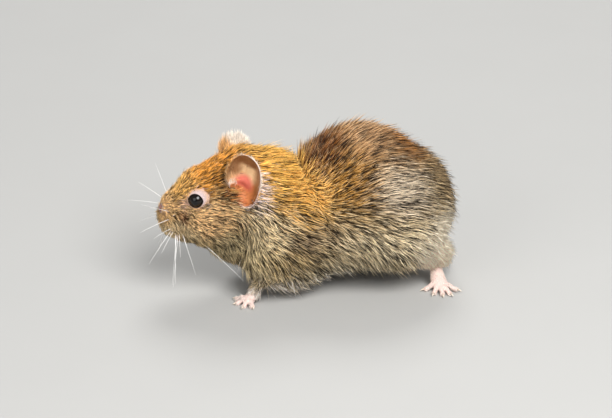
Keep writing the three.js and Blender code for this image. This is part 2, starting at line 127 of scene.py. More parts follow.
# Middle, radii and whether the mass comes as a left and right pair.
HEAD_MASSES = {
    "nose": ((-38.0, 0, 25.2), (2.9, 2.9, 3.3), False),
    "muzzle": ((-33.6, 0, 25.2), (6.4, 5.4, 6.2), False),
    "whisker pad": ((-37.6, 2.9, 22.1), (3.6, 3.0, 3.6), True),
    "chin": ((-32.4, 0, 18.8), (5.6, 4.4, 3.4), False),
    "brow": ((-28.8, 0, 29.8), (7.4, 6.8, 6.6), False),
    "cheek": ((-27.2, 4.6, 22.0), (8.0, 6.3, 7.4), True),
    "skull": ((-20.6, 0, 27.8), (9.2, 10.2, 11.0), False),
    "throat": ((-20.0, 0, 16.2), (9.4, 9.0, 8.0), False),
    "crest": ((-18.0, 0, 34.6), (7.5, 6.5, 8.0), False),
    "forehead": ((-24.2, 0, 33.0), (6.4, 6.0, 6.2), False),
}
TRUNK_MASSES = {
    "neck": ((-12.0, 0, 25.0), (11.5, 13.2, 15.0), False),
    "shoulder": ((-6.4, 8.4, 15.2), (12.4, 8.4, 12.6), True),
    "breast": ((-13.8, 7.6, 11.4), (6.4, 6.0, 6.9), True),
    "chest": ((-3.0, 0, 19.2), (15.0, 15.4, 15.8), False),
    "belly": ((6.0, 0, 15.6), (16.0, 15.0, 11.6), False),
    "loin": ((13.6, 0, 24.4), (19.2, 18.0, 20.6), False),
    "rump": ((24.9, 0, 20.6), (14.8, 15.4, 17.4), False),
    "haunch": ((22.0, 10.0, 17.0), (13.2, 9.0, 11.2), True),
}


def from_head(points):
    """Points of the head's own frame, in the body's frame."""
    return about_axis(np.asarray(points, float) - NECK_PIVOT, 2, -HEAD_TURN) + NECK_PIVOT


def to_head(points):
    """Points of the body's frame, in the head's own frame."""
    return about_axis(np.asarray(points, float) - NECK_PIVOT, 2, HEAD_TURN) + NECK_PIVOT


def ellipsoid_distance(points, middle, radii):
    """Near distance to an ellipsoid: reach (reach - 1) / slope, with reach the scaled radius."""
    scaled = (points - middle) / radii
    reach = np.linalg.norm(scaled, axis=-1)
    return reach * (reach - 1) / (np.linalg.norm(scaled / radii, axis=-1) + 1e-9)


def smooth_least(distances, blend):
    """The least of several distances, rounded where two are close: -b ln of the sum of e^(-d/b)."""
    least = np.minimum.reduce(distances)
    return least - blend * np.log(sum(np.exp((least - d) / blend) for d in distances))


def coat_distance(points):
    """Distance to the coat's outer surface, negative inside: the smooth least over all masses."""
    distances = []
    for masses, local in ((HEAD_MASSES, to_head(points)), (TRUNK_MASSES, points)):
        for (x, y, z), radii, pair in masses.values():
            for side in (-1, 1) if pair else (1,):
                distances.append(ellipsoid_distance(local, np.array([x, side * y, z]), np.array(radii)))
    return smooth_least(distances, COAT_BLEND)


# Where along the body the coat has each depth, from the skin out to its tips.
DEPTH_PLACES = [-41, -38, -31, -25, -18, -8, 10, 30, 40]
DEPTHS = [0.35, 0.6, 1.0, 1.6, 2.3, 2.9, 3.3, 3.1, 2.8]


def coat_depth(points):
    """How deep the coat is over the skin, from the place along the body."""
    return np.interp(to_head(points)[..., 0], DEPTH_PLACES, DEPTHS)


def slope_of(field, points, reach=0.05):
    """The direction in which a field grows fastest, with its steepness, from central differences."""
    steps = reach * np.eye(3)
    return np.stack([field(points + s) - field(points - s) for s in steps], -1) / (2 * reach)


# The line through the middle of the body that the coat lies along and the unwrap follows.
CORE = np.vstack(
    [
        from_head([[-34.0, 0, 26.6], [-23.0, 0, 27.0]]),
        [[-12.0, 0, 25.0], [-1.0, 0, 21.0], [15.0, 0, 23.0], [29.5, 0, 19.5]],
    ]
)
CORE_POINTS = smooth_line(CORE, 161)
CORE_AHEAD = unit(np.gradient(CORE_POINTS, axis=0))
CORE_LENGTHS = np.concatenate([[0], np.cumsum(np.linalg.norm(np.diff(CORE_POINTS, axis=0), axis=1))])


def nearest_index(points, line):
    """For each point, the number of the nearest point of a line, found in blocks to save memory."""
    blocks = np.array_split(points, max(1, len(points) // 20000))
    return np.concatenate([((b[:, None] - line[None]) ** 2).sum(-1).argmin(1) for b in blocks])


# ---------------------------------------------------------------- legs, tail, ears, eyes and nose

# Radius of a leg's skin at its joints, as a share of its coat's.
FORE_SHARES = np.array([0.74, 0.72, 0.82, 0.98])
HIND_SHARES = np.array([0.74, 0.8, 1.0, 1.2])
# Each leg: the joints of its middle line with the coat's radii there, the line of its sole with
# the radii there, and where on the floor each toe ends.
LEGS = {
    "foreleg_left": {
        "joints": [(-9.5, -11.4, 10), (-13.8, -11.2, 8.4), (-16.2, -10.2, 5.6), (-17.5, -9.6, 2.8)],
        "radii": [3.8, 2.6, 1.65, 1.35],
        "shares": FORE_SHARES,
        "sole": [(-17.5, -9.5, 2.5), (-19.0, -10.3, 1.2)],
        "sole_radii": [1.4, 1.7],
        "toes": [(-21.8, -8.1), (-22.2, -10.7), (-20.9, -12.9), (-18.8, -13.6)],
    },
    "foreleg_right": {
        "joints": [(-1.0, 11, 10), (-3.1, 11, 7.6), (-5.1, 10.4, 5), (-6.3, 9.8, 2.8)],
        "radii": [3.8, 2.6, 1.65, 1.35],
        "shares": FORE_SHARES,
        "sole": [(-6.2, 9.7, 2.5), (-7.9, 10.1, 1.2)],
        "sole_radii": [1.4, 1.7],
        "toes": [(-10.3, 7.6), (-11.6, 9.2), (-11.4, 11.2), (-9.6, 12.8)],
    },
    "hindleg_left": {
        "joints": [(25, -9, 12), (30, -8.6, 10.4), (33.6, -6.6, 8.8), (34.2, -5.0, 6.4)],
        "radii": [5.0, 4.2, 3.0, 1.9],
        "shares": HIND_SHARES,
        "sole": [(34.0, -4.8, 6.2), (33.4, -8.4, 3.9), (33.4, -12.0, 1.5)],
        "sole_radii": [1.85, 1.75, 2.35],
        "toes": [(29.6, -12.8), (31.2, -15.6), (33.2, -16.8), (35.2, -16.7), (37.3, -14.8)],
    },
    "hindleg_right": {
        "joints": [(20, 10, 10), (23, 11, 8), (26, 12.2, 5), (26.4, 12.6, 2.6)],
        "radii": [5.0, 4.2, 2.8, 1.9],
        "shares": HIND_SHARES,
        "sole": [(26.6, 12.7, 1.9), (22, 13.4, 1.7), (17, 14, 1.4)],
        "sole_radii": [1.85, 1.6, 2.2],
        "toes": [(15.6, 11.1), (12.7, 12.2), (11.4, 14.2), (11.8, 16.4), (14.4, 17.7)],
    },
}
FEET = {leg: leg.replace("foreleg", "forepaw").replace("hindleg", "hindfoot") for leg in LEGS}
LEG_POINTS = 7
SOLE_POINTS = 5
SOLE_FLAT = 0.78  # how high a sole's section is against its width
SOLE_INSET = 0.06  # how far a sole's skin lies inside its coat
DIGIT_RADIUS = 0.7
DIGIT_SHARES = np.array([0.95, 1.0, 0.84, 0.98])  # radius at the root, knuckle, last joint and pad
TOE_TIP_HEIGHT = 0.5
TOE_ROOT_SPREAD = 0.25  # how far each toe's root stands from the sole's end towards its tip
TOE_ROOT_HEIGHT = 0.85
KNUCKLE_RISE = 0.5
KNUCKLE_SHARE = 0.42  # how far along a toe its knuckle is
LAST_JOINT_SHARE = 0.75
LAST_JOINT_RISE = 0.225

TAIL_LINE = [
    (33, 3, 13),
    (37.6, 5.2, 10),
    (38.6, 9.6, 5.2),
    (36.6, 15.2, 2.2),
    (31.6, 19.8, 1.15),
    (25, 22.2, 0.85),
    (17.4, 22.8, 0.62),
    (10, 21.8, 0.42),
]
TAIL_BASE_RADIUS = 1.75
TAIL_TIP_RADIUS = 0.36

EAR_MIDDLE = np.array([-19.8, -9.6, 35.6])
EAR_LENGTH = 16.4
EAR_HALF_WIDTH = 4.5
EAR_THICKNESS = 0.8
EAR_RIM = 0.3  # thickness at the rim
EAR_LEAN_OUT = 4  # degrees
EAR_LEAN_BACK = 12
EAR_FACING = 24  # how far the ear's hollow turns to the front
FAR_EAR_SHARE = 0.62  # how high the right ear stands above its middle, of the left ear
EAR_CUP = 3.2  # depth of the hollow
EAR_CUP_ROUNDNESS = 2.4
EAR_CUP_LOWNESS = 0.35  # how much shallower the hollow is at its top

NOSE_MIDDLE = np.array([-40.3, 0, 25.2])
NOSE_RADII = np.array([1.15, 1.5, 1.25])
EYE_RADIUS = 2.15
EYE_SIDES = {"eye_left": -1, "eye_right": 1}


def middle_of(node):
    """The middle of a CAD node's box, in millimetres in the packed frame."""
    low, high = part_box(node)
    return (np.array(low) + np.array(high)) / 2 / MM


OFFSET = middle_of("nose_pad") - from_head(NOSE_MIDDLE)
EYES = {name: middle_of(name) - OFFSET for name in EYE_SIDES}


def to_frame(points):
    """Millimetres in the animal's frame as metres in the packed model's frame."""
    return (points + OFFSET) * MM


def ear_to_body(points, side):
    """Points of an ear's own frame, x to the rump, y into the head and z up, in the body's frame."""
    p = about_axis(np.asarray(points, float), 0, EAR_LEAN_OUT)
    p = about_axis(about_axis(p, 1, EAR_LEAN_BACK), 2, -EAR_FACING) + EAR_MIDDLE
    return from_head(p * [1, -side, 1])


def body_to_ear(points, side):
    """Points of the body's frame in an ear's own frame."""
    p = to_head(points) * [1, -side, 1] - EAR_MIDDLE
    return about_axis(about_axis(about_axis(p, 2, EAR_FACING), 1, -EAR_LEAN_BACK), 0, -EAR_LEAN_OUT)


def ear_hollow(share, lowness):
    """Depth of the ear's cup: deepest in its middle and low down, nothing at its rim."""
    return EAR_CUP * (1 - EAR_CUP_LOWNESS * lowness) * (1 - share**EAR_CUP_ROUNDNESS)


def ear_room(points, side, gap=0.0):
    """Distance to the air in front of an ear and the ear itself, negative inside."""
    p = body_to_ear(points, side)
    share = np.hypot(p[..., 0] / (EAR_HALF_WIDTH + gap), p[..., 2] / (EAR_LENGTH / 2 + gap))
    back = ear_hollow(np.minimum(share, 1), p[..., 2] / (EAR_LENGTH / 2)) + EAR_THICKNESS / 2 + gap
    return np.maximum((share - 1) * EAR_HALF_WIDTH, p[..., 1] - back)


def limb_distance(points, path, radii, flat=1.0):
    """Distance to a tube along a line with a radius at each point: the least over its stretches."""
    squash = np.array([1, 1, 1 / flat])
    line = np.asarray(path, float) * squash
    radii = np.interp(np.linspace(0, 1, len(line)), np.linspace(0, 1, len(radii)), radii)
    points = points * squash
    distances = []
    for a, b, start, end in zip(line, line[1:], radii, radii[1:]):
        share = np.clip((points - a) @ (b - a) / ((b - a) @ (b - a)), 0, 1)
        gap = np.linalg.norm(points - a - share[:, None] * (b - a), axis=1)
        distances.append(gap - start - share * (end - start))
    return np.minimum.reduce(distances)


# ---------------------------------------------------------------- surfaces from fields and grids

CORNERS = np.array(list(product((0, 1), repeat=3)))
EDGES = [(a, b) for a in range(8) for b in range(a + 1, 8) if abs(CORNERS[a] - CORNERS[b]).sum() == 1]
BLOCK = 4  # cells along each side of a coarse block
BAND = 7  # how near the surface a point is worked out for itself, in cells
SETTLING_ROUNDS = 3  # how often points are moved along the slope onto the surface
LEAST_SLOPE = 0.5


def field_values(field, axes, step):
    """A field on a grid: worked out at each point near the surface and once a block elsewhere."""
    coarse_axes = [a[::BLOCK] + step * (BLOCK - 1) / 2 for a in axes]
    coarse_points = np.stack(np.meshgrid(*coarse_axes, indexing="ij"), -1)
    coarse = field(coarse_points.reshape(-1, 3)).reshape(coarse_points.shape[:3])
    values = coarse[np.ix_(*(np.arange(len(a)) // BLOCK for a in axes))]
    near = np.argwhere(np.abs(values) < BAND * step)
    points = np.array([a[0] for a in axes]) + near * step
    values[tuple(near.T)] = field(points)
    return values


def surface_of(field, low, high, step):
    """The closed surface where a field is zero, as quads. Each cell of a grid that the surface
    crosses gets one point, the mean of the crossings on its edges, which is then moved along the
    field's slope onto the surface. Each grid edge that is crossed gets the quad of its four cells.
    The grid has to reach past the surface on every side."""
    axes = [np.arange(a, b + step, step) for a, b in zip(low, high)]
    values = field_values(field, axes, step)
    inside = values < 0
    cell_shape = np.array(values.shape) - 1
    corner_blocks = (tuple(slice(a, a + n) for a, n in zip(corner, cell_shape)) for corner in CORNERS)
    within = sum(inside[block].astype(int) for block in corner_blocks)
    cells = np.argwhere((within > 0) & (within < 8))
    number = np.full(cell_shape, -1)
    number[tuple(cells.T)] = np.arange(len(cells))
    at_corner = values[tuple((cells[:, None] + CORNERS).transpose(2, 0, 1))]
    total, count = np.zeros((len(cells), 3)), np.zeros((len(cells), 1))
    for a, b in EDGES:
        crossed = ((at_corner[:, a] < 0) != (at_corner[:, b] < 0))[:, None]
        share = at_corner[:, a] / np.where(crossed[:, 0], at_corner[:, a] - at_corner[:, b], 1)
        total += np.where(crossed, CORNERS[a] + share[:, None] * (CORNERS[b] - CORNERS[a]), 0)
        count += crossed
    verts = np.array(low) + (cells + total / count) * step
    for _ in range(SETTLING_ROUNDS):
        slope = slope_of(field, verts)
        move = field(verts) / np.maximum((slope**2).sum(1), LEAST_SLOPE**2)
        verts -= np.clip(move, -step, step)[:, None] * slope
    quads = []
    for axis in range(3):
        first = np.moveaxis(inside, axis, 0)[:-1]
        second = np.moveaxis(inside, axis, 0)[1:]
        at = np.argwhere(np.moveaxis(first != second, 0, axis))
        step_u = np.roll([1, 0, 0], axis + 1)
        step_v = np.roll([1, 0, 0], axis + 2)
        around = [at, at - step_u, at - step_u - step_v, at - step_v]
        quad = np.stack([number[tuple(c.T)] for c in around], 1)
        outward = inside[tuple(at.T)]
        quads.append(np.where(outward[:, None], quad, quad[:, ::-1]))
    quads = np.concatenate(quads)
    if quads.min() < 0:
        raise ValueError("a surface runs out of its grid")
    return verts, [quads]


def closed_rings(first, rings, last):
    """Points and faces of a tube: a grid of rings with one point closing each end. Rings turn
    clockwise as seen along the tube."""
    count, sides = rings.shape[:2]
    verts = np.vstack([first[None], rings.reshape(-1, 3), last[None]])
    grid = 1 + np.arange(count * sides).reshape(count, sides)
    turned = np.roll(grid, -1, axis=1)
    quads = np.stack([grid[:-1], turned[:-1], turned[1:], grid[1:]], -1).reshape(-1, 4)
    start = np.stack([np.zeros(sides, int), turned[0], grid[0]], -1)
    end = np.stack([np.full(sides, len(verts) - 1), grid[-1], turned[-1]], -1)
    return verts, [quads, np.vstack([start, end])]


def frames_along(line):
    """For each point of a line: the direction ahead, across and up from it, carried smoothly."""
    ahead = unit(np.gradient(line, axis=0))
    across = np.empty_like(ahead)
    guide = np.cross(UP, ahead[0])
    guide = guide if np.linalg.norm(guide) > 0.2 else np.array([0.0, 1.0, 0.0])
    for i, direction in enumerate(ahead):
        guide = unit(guide - (guide @ direction) * direction)
        across[i] = guide
    return ahead, across, np.cross(ahead, across)


def tube(line, radii, sides):
    """A round tube along a line, closed by a point a radius beyond each end: each ring is
    middle + radius (cos a across + sin a up)."""
    ahead, across, rise = frames_along(line)
    angle = np.linspace(0, 2 * np.pi, sides, endpoint=False)[None, :, None]
    radii = np.asarray(radii)[:, None, None]
    rings = line[:, None] + radii * (np.cos(angle) * across[:, None] + np.sin(angle) * rise[:, None])
    return closed_rings(line[0] - ahead[0] * radii[0, 0], rings, line[-1] + ahead[-1] * radii[-1, 0])


def vertex_normals(verts, faces):
    """Normals at the points: the sum of the area normals of the faces round each."""
    normals = np.zeros_like(verts)
    for polygons in faces:
        corner = verts[polygons]
        last = corner[:, 3] - corner[:, 1] if polygons.shape[1] == 4 else corner[:, 2] - corner[:, 1]
        area = np.cross(corner[:, 2] - corner[:, 0], last)
        for column in polygons.T:
            np.add.at(normals, column, area)
    return unit(normals)


def joined(parts):
    """Several (points, faces) as one, with each face's numbers moved up."""
    verts, faces, start = [], [], 0
    for part_verts, part_faces in parts:
        verts.append(part_verts)
        faces += [f + start for f in part_faces]
        start += len(part_verts)
    return np.vstack(verts), faces


def make_object(name, verts, faces, material, attributes=None, uv=None):
    """A mesh object from points in millimetres and arrays of faces, at the origin of the frame.
    attributes maps a name to one value or one vector for each point, uv is a pair for each point."""
    mesh = bpy.data.meshes.new(name)
    corners = np.concatenate([f.ravel() for f in faces]).astype(np.int32)
    sizes = np.concatenate([np.full(len(f), f.shape[1], np.int32) for f in faces])
    mesh.vertices.add(len(verts))
    mesh.vertices.foreach_set("co", to_frame(verts).astype(np.float32).ravel())
    mesh.loops.add(len(corners))
    mesh.loops.foreach_set("vertex_index", corners)
    mesh.polygons.add(len(sizes))
    mesh.polygons.foreach_set("loop_start", (np.cumsum(sizes) - sizes).astype(np.int32))
    mesh.update(calc_edges=True)
    mesh.polygons.foreach_set("use_smooth", np.ones(len(sizes), bool))
    for key, values in (attributes or {}).items():
        values = np.asarray(values, np.float32)
        kind, field = ("FLOAT", "value") if values.ndim == 1 else ("FLOAT_VECTOR", "vector")
        mesh.attributes.new(key, kind, "POINT").data.foreach_set(field, values.ravel())
    if uv is not None:
        layer = mesh.uv_layers.new(name="OFBake")
        layer.data.foreach_set("uv", uv[corners].astype(np.float32).ravel())
    mesh.materials.append(material)
    made = bpy.data.objects.new(name, mesh)
    bpy.context.scene.collection.objects.link(made)
    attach(made, "root")
    return made


# ---------------------------------------------------------------- skin

TRUNK_STEP = 0.5  # spacing of the points on the body's skin
FOOT_STEP = 0.2
SKIN_BLEND = 0.7
LEG_INSET = 0.25  # how far the body's own part of a leg lies inside the leg's skin
FOOT_BLEND = 0.22
LEAST_HEIGHT = 0.02  # the soles stand this far above the floor


def upper_leg(points, leg):
    """Distance to the skin of a furred leg."""
    return limb_distance(points, smooth_line(leg["joints"], LEG_POINTS), leg["radii"] * leg["shares"])


def body_skin_field(points):
    """Distance to the skin of head, neck and trunk: the coat's less its depth, melted into the
    upper legs, with room for the ears."""
    flesh = coat_distance(points) + coat_depth(points)
    legs = [upper_leg(points, leg) + LEG_INSET for leg in LEGS.values()]
    field = smooth_least([flesh] + legs, SKIN_BLEND)
    for side in (-1, 1):
        field = np.maximum(field, -ear_room(points, side))
    return field


def toe_lines(leg):
    """The middle line of each toe: root, knuckle, last joint and pad."""
    ball = np.array(leg["sole"][-1])
    for x, y in leg["toes"]:
        tip = np.array([x, y, TOE_TIP_HEIGHT])
        root = ball + (tip - ball) * TOE_ROOT_SPREAD
        root[2] = max(root[2], TOE_ROOT_HEIGHT)
        knuckle = root + (tip - root) * KNUCKLE_SHARE + UP * KNUCKLE_RISE
        joint = root + (tip - root) * LAST_JOINT_SHARE + UP * LAST_JOINT_RISE
        yield np.array([root, knuckle, joint, tip])


def foot_field(leg):
    """Distance to a leg's lower part, its sole, toes and pads, cut flat by the floor."""

    def distance(points):
        sole_radii = np.array(leg["sole_radii"]) - SOLE_INSET
        parts = [upper_leg(points, leg)]
        parts.append(limb_distance(points, smooth_line(leg["sole"], SOLE_POINTS), sole_radii, SOLE_FLAT))
        for line in toe_lines(leg):
            parts.append(limb_distance(points, line, DIGIT_SHARES * DIGIT_RADIUS))
        return np.maximum(smooth_least(parts, FOOT_BLEND), LEAST_HEIGHT - points[:, 2])

    return distance


# Degrees round an ear, 0 at the rump side and 90 at the top, and how far its rim reaches there, of
# the ellipse: a fuller upper front corner and a low point at the back.
EAR_OUTLINE = {-180: 0.95, -135: 0.72, -100: 0.76, -70: 0.96, -56: 1.12, -40: 1.17, -15: 1.07}
EAR_OUTLINE |= {13: 1.04, 41: 1.03, 63: 1.0, 90: 0.99, 115: 1.06, 134: 1.12, 152: 1.08, 180: 0.97}
EAR_SMOOTHING = (-14, -7, 0, 7, 14)  # degrees over which the outline is averaged
EAR_SIDES = 72
EAR_RINGS = 26
EAR_FIRST_SHARE = 0.05  # radius of the innermost ring, before the rings crowd towards the rim
EAR_CROWDING = 1.35
# Folds in the hollow: depth, then middle and half width across and up, in shares of the rim.
EAR_SHELF = (0.95, -0.1, 0.62, -0.18, 0.2)
EAR_NOTCH = (0.55, 0.02, 0.14)
EAR_ROLL = (0.18, 0.93, 0.05)  # depth, place and half width of the roll along the rim


def ear_outline(angle):
    """How far the rim of an ear reaches at an angle, smoothed over its table."""
    degrees = np.degrees(angle)
    known, reach = zip(*EAR_OUTLINE.items())
    samples = [np.interp((degrees + turn + 180) % 360 - 180, known, reach) for turn in EAR_SMOOTHING]
    return np.mean(samples, axis=0)


def ear_shell(side):
    """A closed cup: rings at growing share of the rim's ellipse on the hollow's face, then back
    over the outer face. The hollow holds a soft mound across its lower middle, a low upright fold
    above it and a thin rolled rim. Returns also each point's place across, up and from the rim,
    and whether it is on the inner face."""
    angle = np.linspace(0, 2 * np.pi, EAR_SIDES, endpoint=False)
    shares = 1 - (1 - np.linspace(EAR_FIRST_SHARE, 1, EAR_RINGS)) ** EAR_CROWDING
    share, angle = np.meshgrid(shares, angle, indexing="ij")
    across, up = share * np.cos(angle), share * np.sin(angle)
    hollow = ear_hollow(share, up)
    thickness = EAR_RIM + (EAR_THICKNESS - EAR_RIM) * (1 - share**3)
    depth, middle, width, level, height = EAR_SHELF
    shelf = depth * bump(across, middle, width) * bump(up, level, height) * np.clip(1.2 - share**4, 0, 1)
    depth, middle, width = EAR_NOTCH
    notch = depth * bump(across, middle, width) * smoothstep(0, 0.35, up) * smoothstep(1, 0.7, share)
    depth, middle, width = EAR_ROLL
    roll = depth * bump(share, middle, width)
    wave = ear_outline(angle)
    side_place, height_place = EAR_HALF_WIDTH * across * wave, EAR_LENGTH / 2 * up * wave
    inner_face = np.stack([side_place, hollow - shelf - notch - roll, height_place], -1)
    outer_face = np.stack([side_place, hollow + thickness, height_place], -1)[::-1]
    rings = np.concatenate([inner_face, outer_face])
    if side > 0:
        rings[..., 2] *= np.where(rings[..., 2] > 0, FAR_EAR_SHARE, 1)
    start, end = rings[0].mean(0), rings[-1].mean(0)
    spot = np.stack([across, up, share], -1)
    spots = np.concatenate([spot, spot[::-1]])
    if side < 0:
        rings, spots = rings[:, ::-1], spots[:, ::-1]
    verts, faces = closed_rings(*(ear_to_body(p, side) for p in (start, rings, end)))
    spots = np.vstack([[0, 0, 0], spots.reshape(-1, 3), [0, 0, 0]])
    inner = np.repeat([1.0, 0.0], len(verts) // 2)
    return verts, faces, spots, inner


def eye_axes(name):
    """The direction an eye looks in, across it towards the rump and up."""
    outward = unit(slope_of(coat_distance, EYES[name][None])[0])
    back = along(np.array([1.0, 0, 0]), outward)
    rise = np.cross(outward, back)
    return outward, back, rise if rise[2] > 0 else -rise


# The lids' section: distance from the eye's axis and height above the eye's middle, from the
# margin over the ring and down under the skin, and back.
LID_PROFILE = np.array(
    [(1.70, 0.55), (1.80, 1.00), (1.90, 1.22), (2.05, 1.25), (2.25, 1.08), (2.48, 0.7), (2.75, 0.15)]
    + [(3.05, -0.55), (3.35, -1.4), (2.6, -1.2), (1.9, -0.2)]
)
LID_SIDES = 64
LID_STEPS = 33
# Corners of the eye: the angle round it, how widely the ring is drawn out, how far and how low.
LID_CORNERS = {"rump": (0.0, 0.45, 0.07, 0.1), "nose": (np.pi, 0.35, 0.08, 0.12)}


def eyelids(name):
    """Both lids as one ring: a closed profile of distance from the eye's axis and height above
    the eye's middle, carried round the eye and drawn out at both corners of the eye."""
    outward, back, rise = eye_axes(name)
    angle = np.linspace(0, 2 * np.pi, LID_SIDES, endpoint=False)[:, None]
    profile = np.vstack([LID_PROFILE, LID_PROFILE[:1]])
    shares = np.linspace(0, 1, LID_STEPS + 1)[:-1]
    reach, height = (np.interp(shares, np.linspace(0, 1, len(profile)), column) for column in profile.T)
    margin = smoothstep(2.12, 1.98, reach) * smoothstep(0.4, 0.6, height)
    drawn, lowered = 1.0, 0.0
    for turn, width, far, low in LID_CORNERS.values():
        corner = bump((angle - turn + np.pi) % (2 * np.pi), np.pi, width)
        drawn = drawn + far * corner
        lowered = lowered + low * corner
    direction = np.cos(angle) * back + np.sin(angle) * rise
    rings = (reach * drawn)[..., None] * direction[:, None] + (height - lowered)[..., None] * outward
    grid = np.arange(LID_SIDES * LID_STEPS).reshape(LID_SIDES, LID_STEPS)
    following = np.roll(grid, -1, axis=0)
    quads = np.stack([grid, following, np.roll(following, -1, 1), np.roll(grid, -1, 1)], -1).reshape(-1, 4)
    if np.cross(back, rise) @ outward > 0:
        quads = quads[:, ::-1]
    return EYES[name] + rings.reshape(-1, 3), [quads], np.tile(margin, LID_SIDES)


class SkinPart:
    """A piece of the skin's surface with what the coat on it needs at each point: which way the
    hair lies, its length and width, how high it stands, how densely it grows and how bare it is."""

    def __init__(self, name, verts, faces, lie, length, width, lift, density, bare, unwrap, **extra):
        self.name, self.verts, self.faces = name, verts, faces
        self.normals = vertex_normals(verts, faces)
        self.lie = along(lie, self.normals)
        values = (np.broadcast_to(value, len(verts)) for value in (length, width, lift, density, bare))
        self.length, self.width, self.lift, self.density, self.bare = values
        self.unwrap = unwrap
        self.extra = extra


# The unwrap: the body takes the columns up to BODY_COLUMNS, and each limb a strip beside it.
BODY_COLUMNS = 0.86
BODY_END = 12.6  # millimetres that a right angle of the body's rounded ends takes on the unwrap
FIRST_STRIP = 0.865
STRIP = 0.033  # from one strip to the next
STRIP_EDGE = 0.004
STRIP_WIDTH = 0.026
FOOT_ROWS = (0.0, 0.45)
EAR_ROWS = (0.5, 0.7)
TAIL_ROWS = (0.75, 1.0)
MARGIN = 0.01  # of a patch, left free at each end


def unwrap_body(points):
    """The skin unrolled: across goes the place along the core line, which runs on round the
    rounded ends by angle, and up goes the angle round the core line."""
    index = nearest_index(points, CORE_POINTS)
    local = points - CORE_POINTS[index]
    ahead = CORE_AHEAD[index]
    forward = (local * ahead).sum(1)
    flat = local - forward[:, None] * ahead
    lean = np.arctan2(forward, np.linalg.norm(flat, axis=1)) / (np.pi / 2)
    ended = (index == 0) | (index == len(CORE_POINTS) - 1)
    place = CORE_LENGTHS[index] + np.where(ended, lean * BODY_END, forward)
    side = unit(np.cross(UP, ahead))
    angle = np.arctan2((flat * side).sum(1), (flat * np.cross(ahead, side)).sum(1))
    share = (place + BODY_END) / (CORE_LENGTHS[-1] + 2 * BODY_END)
    u = BODY_COLUMNS * (MARGIN + (1 - 2 * MARGIN) * share)
    return np.stack([u, MARGIN + (1 - 2 * MARGIN) * (angle / (2 * np.pi) + 0.5)], 1)


def unwrap_line(line, strip, rows):
    """An unwrap round a limb: across goes the angle, up goes the place along its line."""

    def unwrap(points):
        index = nearest_index(points, line)
        _, across, rise = frames_along(line)
        local = points - line[index]
        angle = np.arctan2((local * rise[index]).sum(1), (local * across[index]).sum(1)) / (2 * np.pi) + 0.5
        u = FIRST_STRIP + STRIP * strip + STRIP_EDGE + STRIP_WIDTH * angle
        share = MARGIN + (1 - 2 * MARGIN) * index / (len(line) - 1)
        return np.stack([u, rows[0] + (rows[1] - rows[0]) * share], 1)

    return unwrap


# Regions of the coat. Each is a product of fades: what is measured, where the region starts and
# where it is full. "head" is X in the head's own frame, and "up" how far the skin faces up.
REGIONS = {
    "face": [("head", -20, -31)],
    "under": [("up", 0.35, -0.75)],
    "breast": [("x", -2, -16), ("z", 24, 12)],
    "hump": [("x", -2, 4), ("x", 24, 10), ("z", 22, 32)],
    "nape": [("x", -19, -12), ("x", 3, -2), ("up", 0.2, 0.7)],
    "low": [("z", 9, 5)],
    "chest": [("x", -6, -13), ("z", 19, 11), ("head", -29, -22)],
    "lips": [("head", -33, -36), ("z", 25.5, 23)],
    "nose": [("head", -37, -39.5)],
    "bridge": [("head", -31, -34), ("up", 0.1, 0.6)],
}


def region(name, points, normals):
    """How far each point lies in a region of the coat, from 0 to 1."""
    measures = {"x": points[:, 0], "z": points[:, 2], "head": to_head(points)[:, 0], "up": normals[:, 2]}
    return np.prod([smoothstep(start, full, measures[axis]) for axis, start, full in REGIONS[name]], axis=0)


def body_lie(points, normals):
    """The lie of the coat: back along the body, away from the nose on the face, up and back over
    the front of the hump, and more downward the further down the flank and chest."""
    ahead = CORE_AHEAD[nearest_index(points, CORE_POINTS)]
    from_nose = unit(points - from_head(NOSE_MIDDLE))
    names = ("face", "under", "breast", "hump")
    face, under, breast, hump = (region(name, points, normals) for name in names)
    lie = ahead + (from_nose - ahead) * face[:, None]
    down = (0.1 + 1.15 * under) * (1 + 0.9 * breast) * (1 - 0.6 * face)
    return lie + (0.36 * hump - down)[:, None] * UP


RING_WIDER = 0.2
HEAD_SURFACE = 4.0  # how far behind an eye's middle its own side of the head ends
FAR = 50.0


def near_eyes(points):
    """Distance from the nearer eye's axis, in millimetres, and larger behind the head's surface."""
    distances = []
    for name in EYE_SIDES:
        outward, back, rise = eye_axes(name)
        local = points - EYES[name]
        flat = local - (local @ outward)[:, None] * outward
        # The bare ring is widest above and behind the eye.
        wide = 1 + RING_WIDER * np.clip(unit(flat) @ unit(back + 0.8 * rise), 0, 1)
        behind = local @ outward < -HEAD_SURFACE
        distances.append(np.linalg.norm(flat, axis=1) / wide + np.where(behind, FAR, 0))
    return np.minimum(*distances)


SKIN_BOX = np.array([-42.0, -19.5, -0.5]), np.array([40.0, 19.5, 44.5])
# By place along the head and body, from the nose back: tufts for each square millimetre, their
# width, and their length as a share of the coat's depth.
DENSITY_AT = [-41, -34, -26, -16, -6], [48, 40, 29, 17, 13]
WIDTH_AT = [-41, -36, -28, -18, -6], [0.1, 0.125, 0.16, 0.21, 0.265]
LENGTH_AT = [-41, -34, -26, -10], [2.8, 3.0, 2.5, 1.75]
# How much longer the tufts are and how much higher they stand at each place, in shares.
LONGER = {"nape": 0.3, "chest": 0.25, "fringe": 0.5, "trim": -0.55, "low": 0.3}
HIGHER = {"nape": 0.35, "chest": 0.2, "fringe": 0.35, "trim": -0.3, "low": 0.2}
BASE_HEIGHT = 0.9
# How much longer and higher they are on the lips, the nose's end and its bridge, in millimetres.
SNOUT_PADS = {"lips": 1.0, "nose": 0.7, "bridge": 0.8}
SNOUT_LONGER = 0.8
SNOUT_HIGHER = 0.45
BARE_ROUND_EYE = (3.6, 2.7)  # hair is pale to its root from here inward


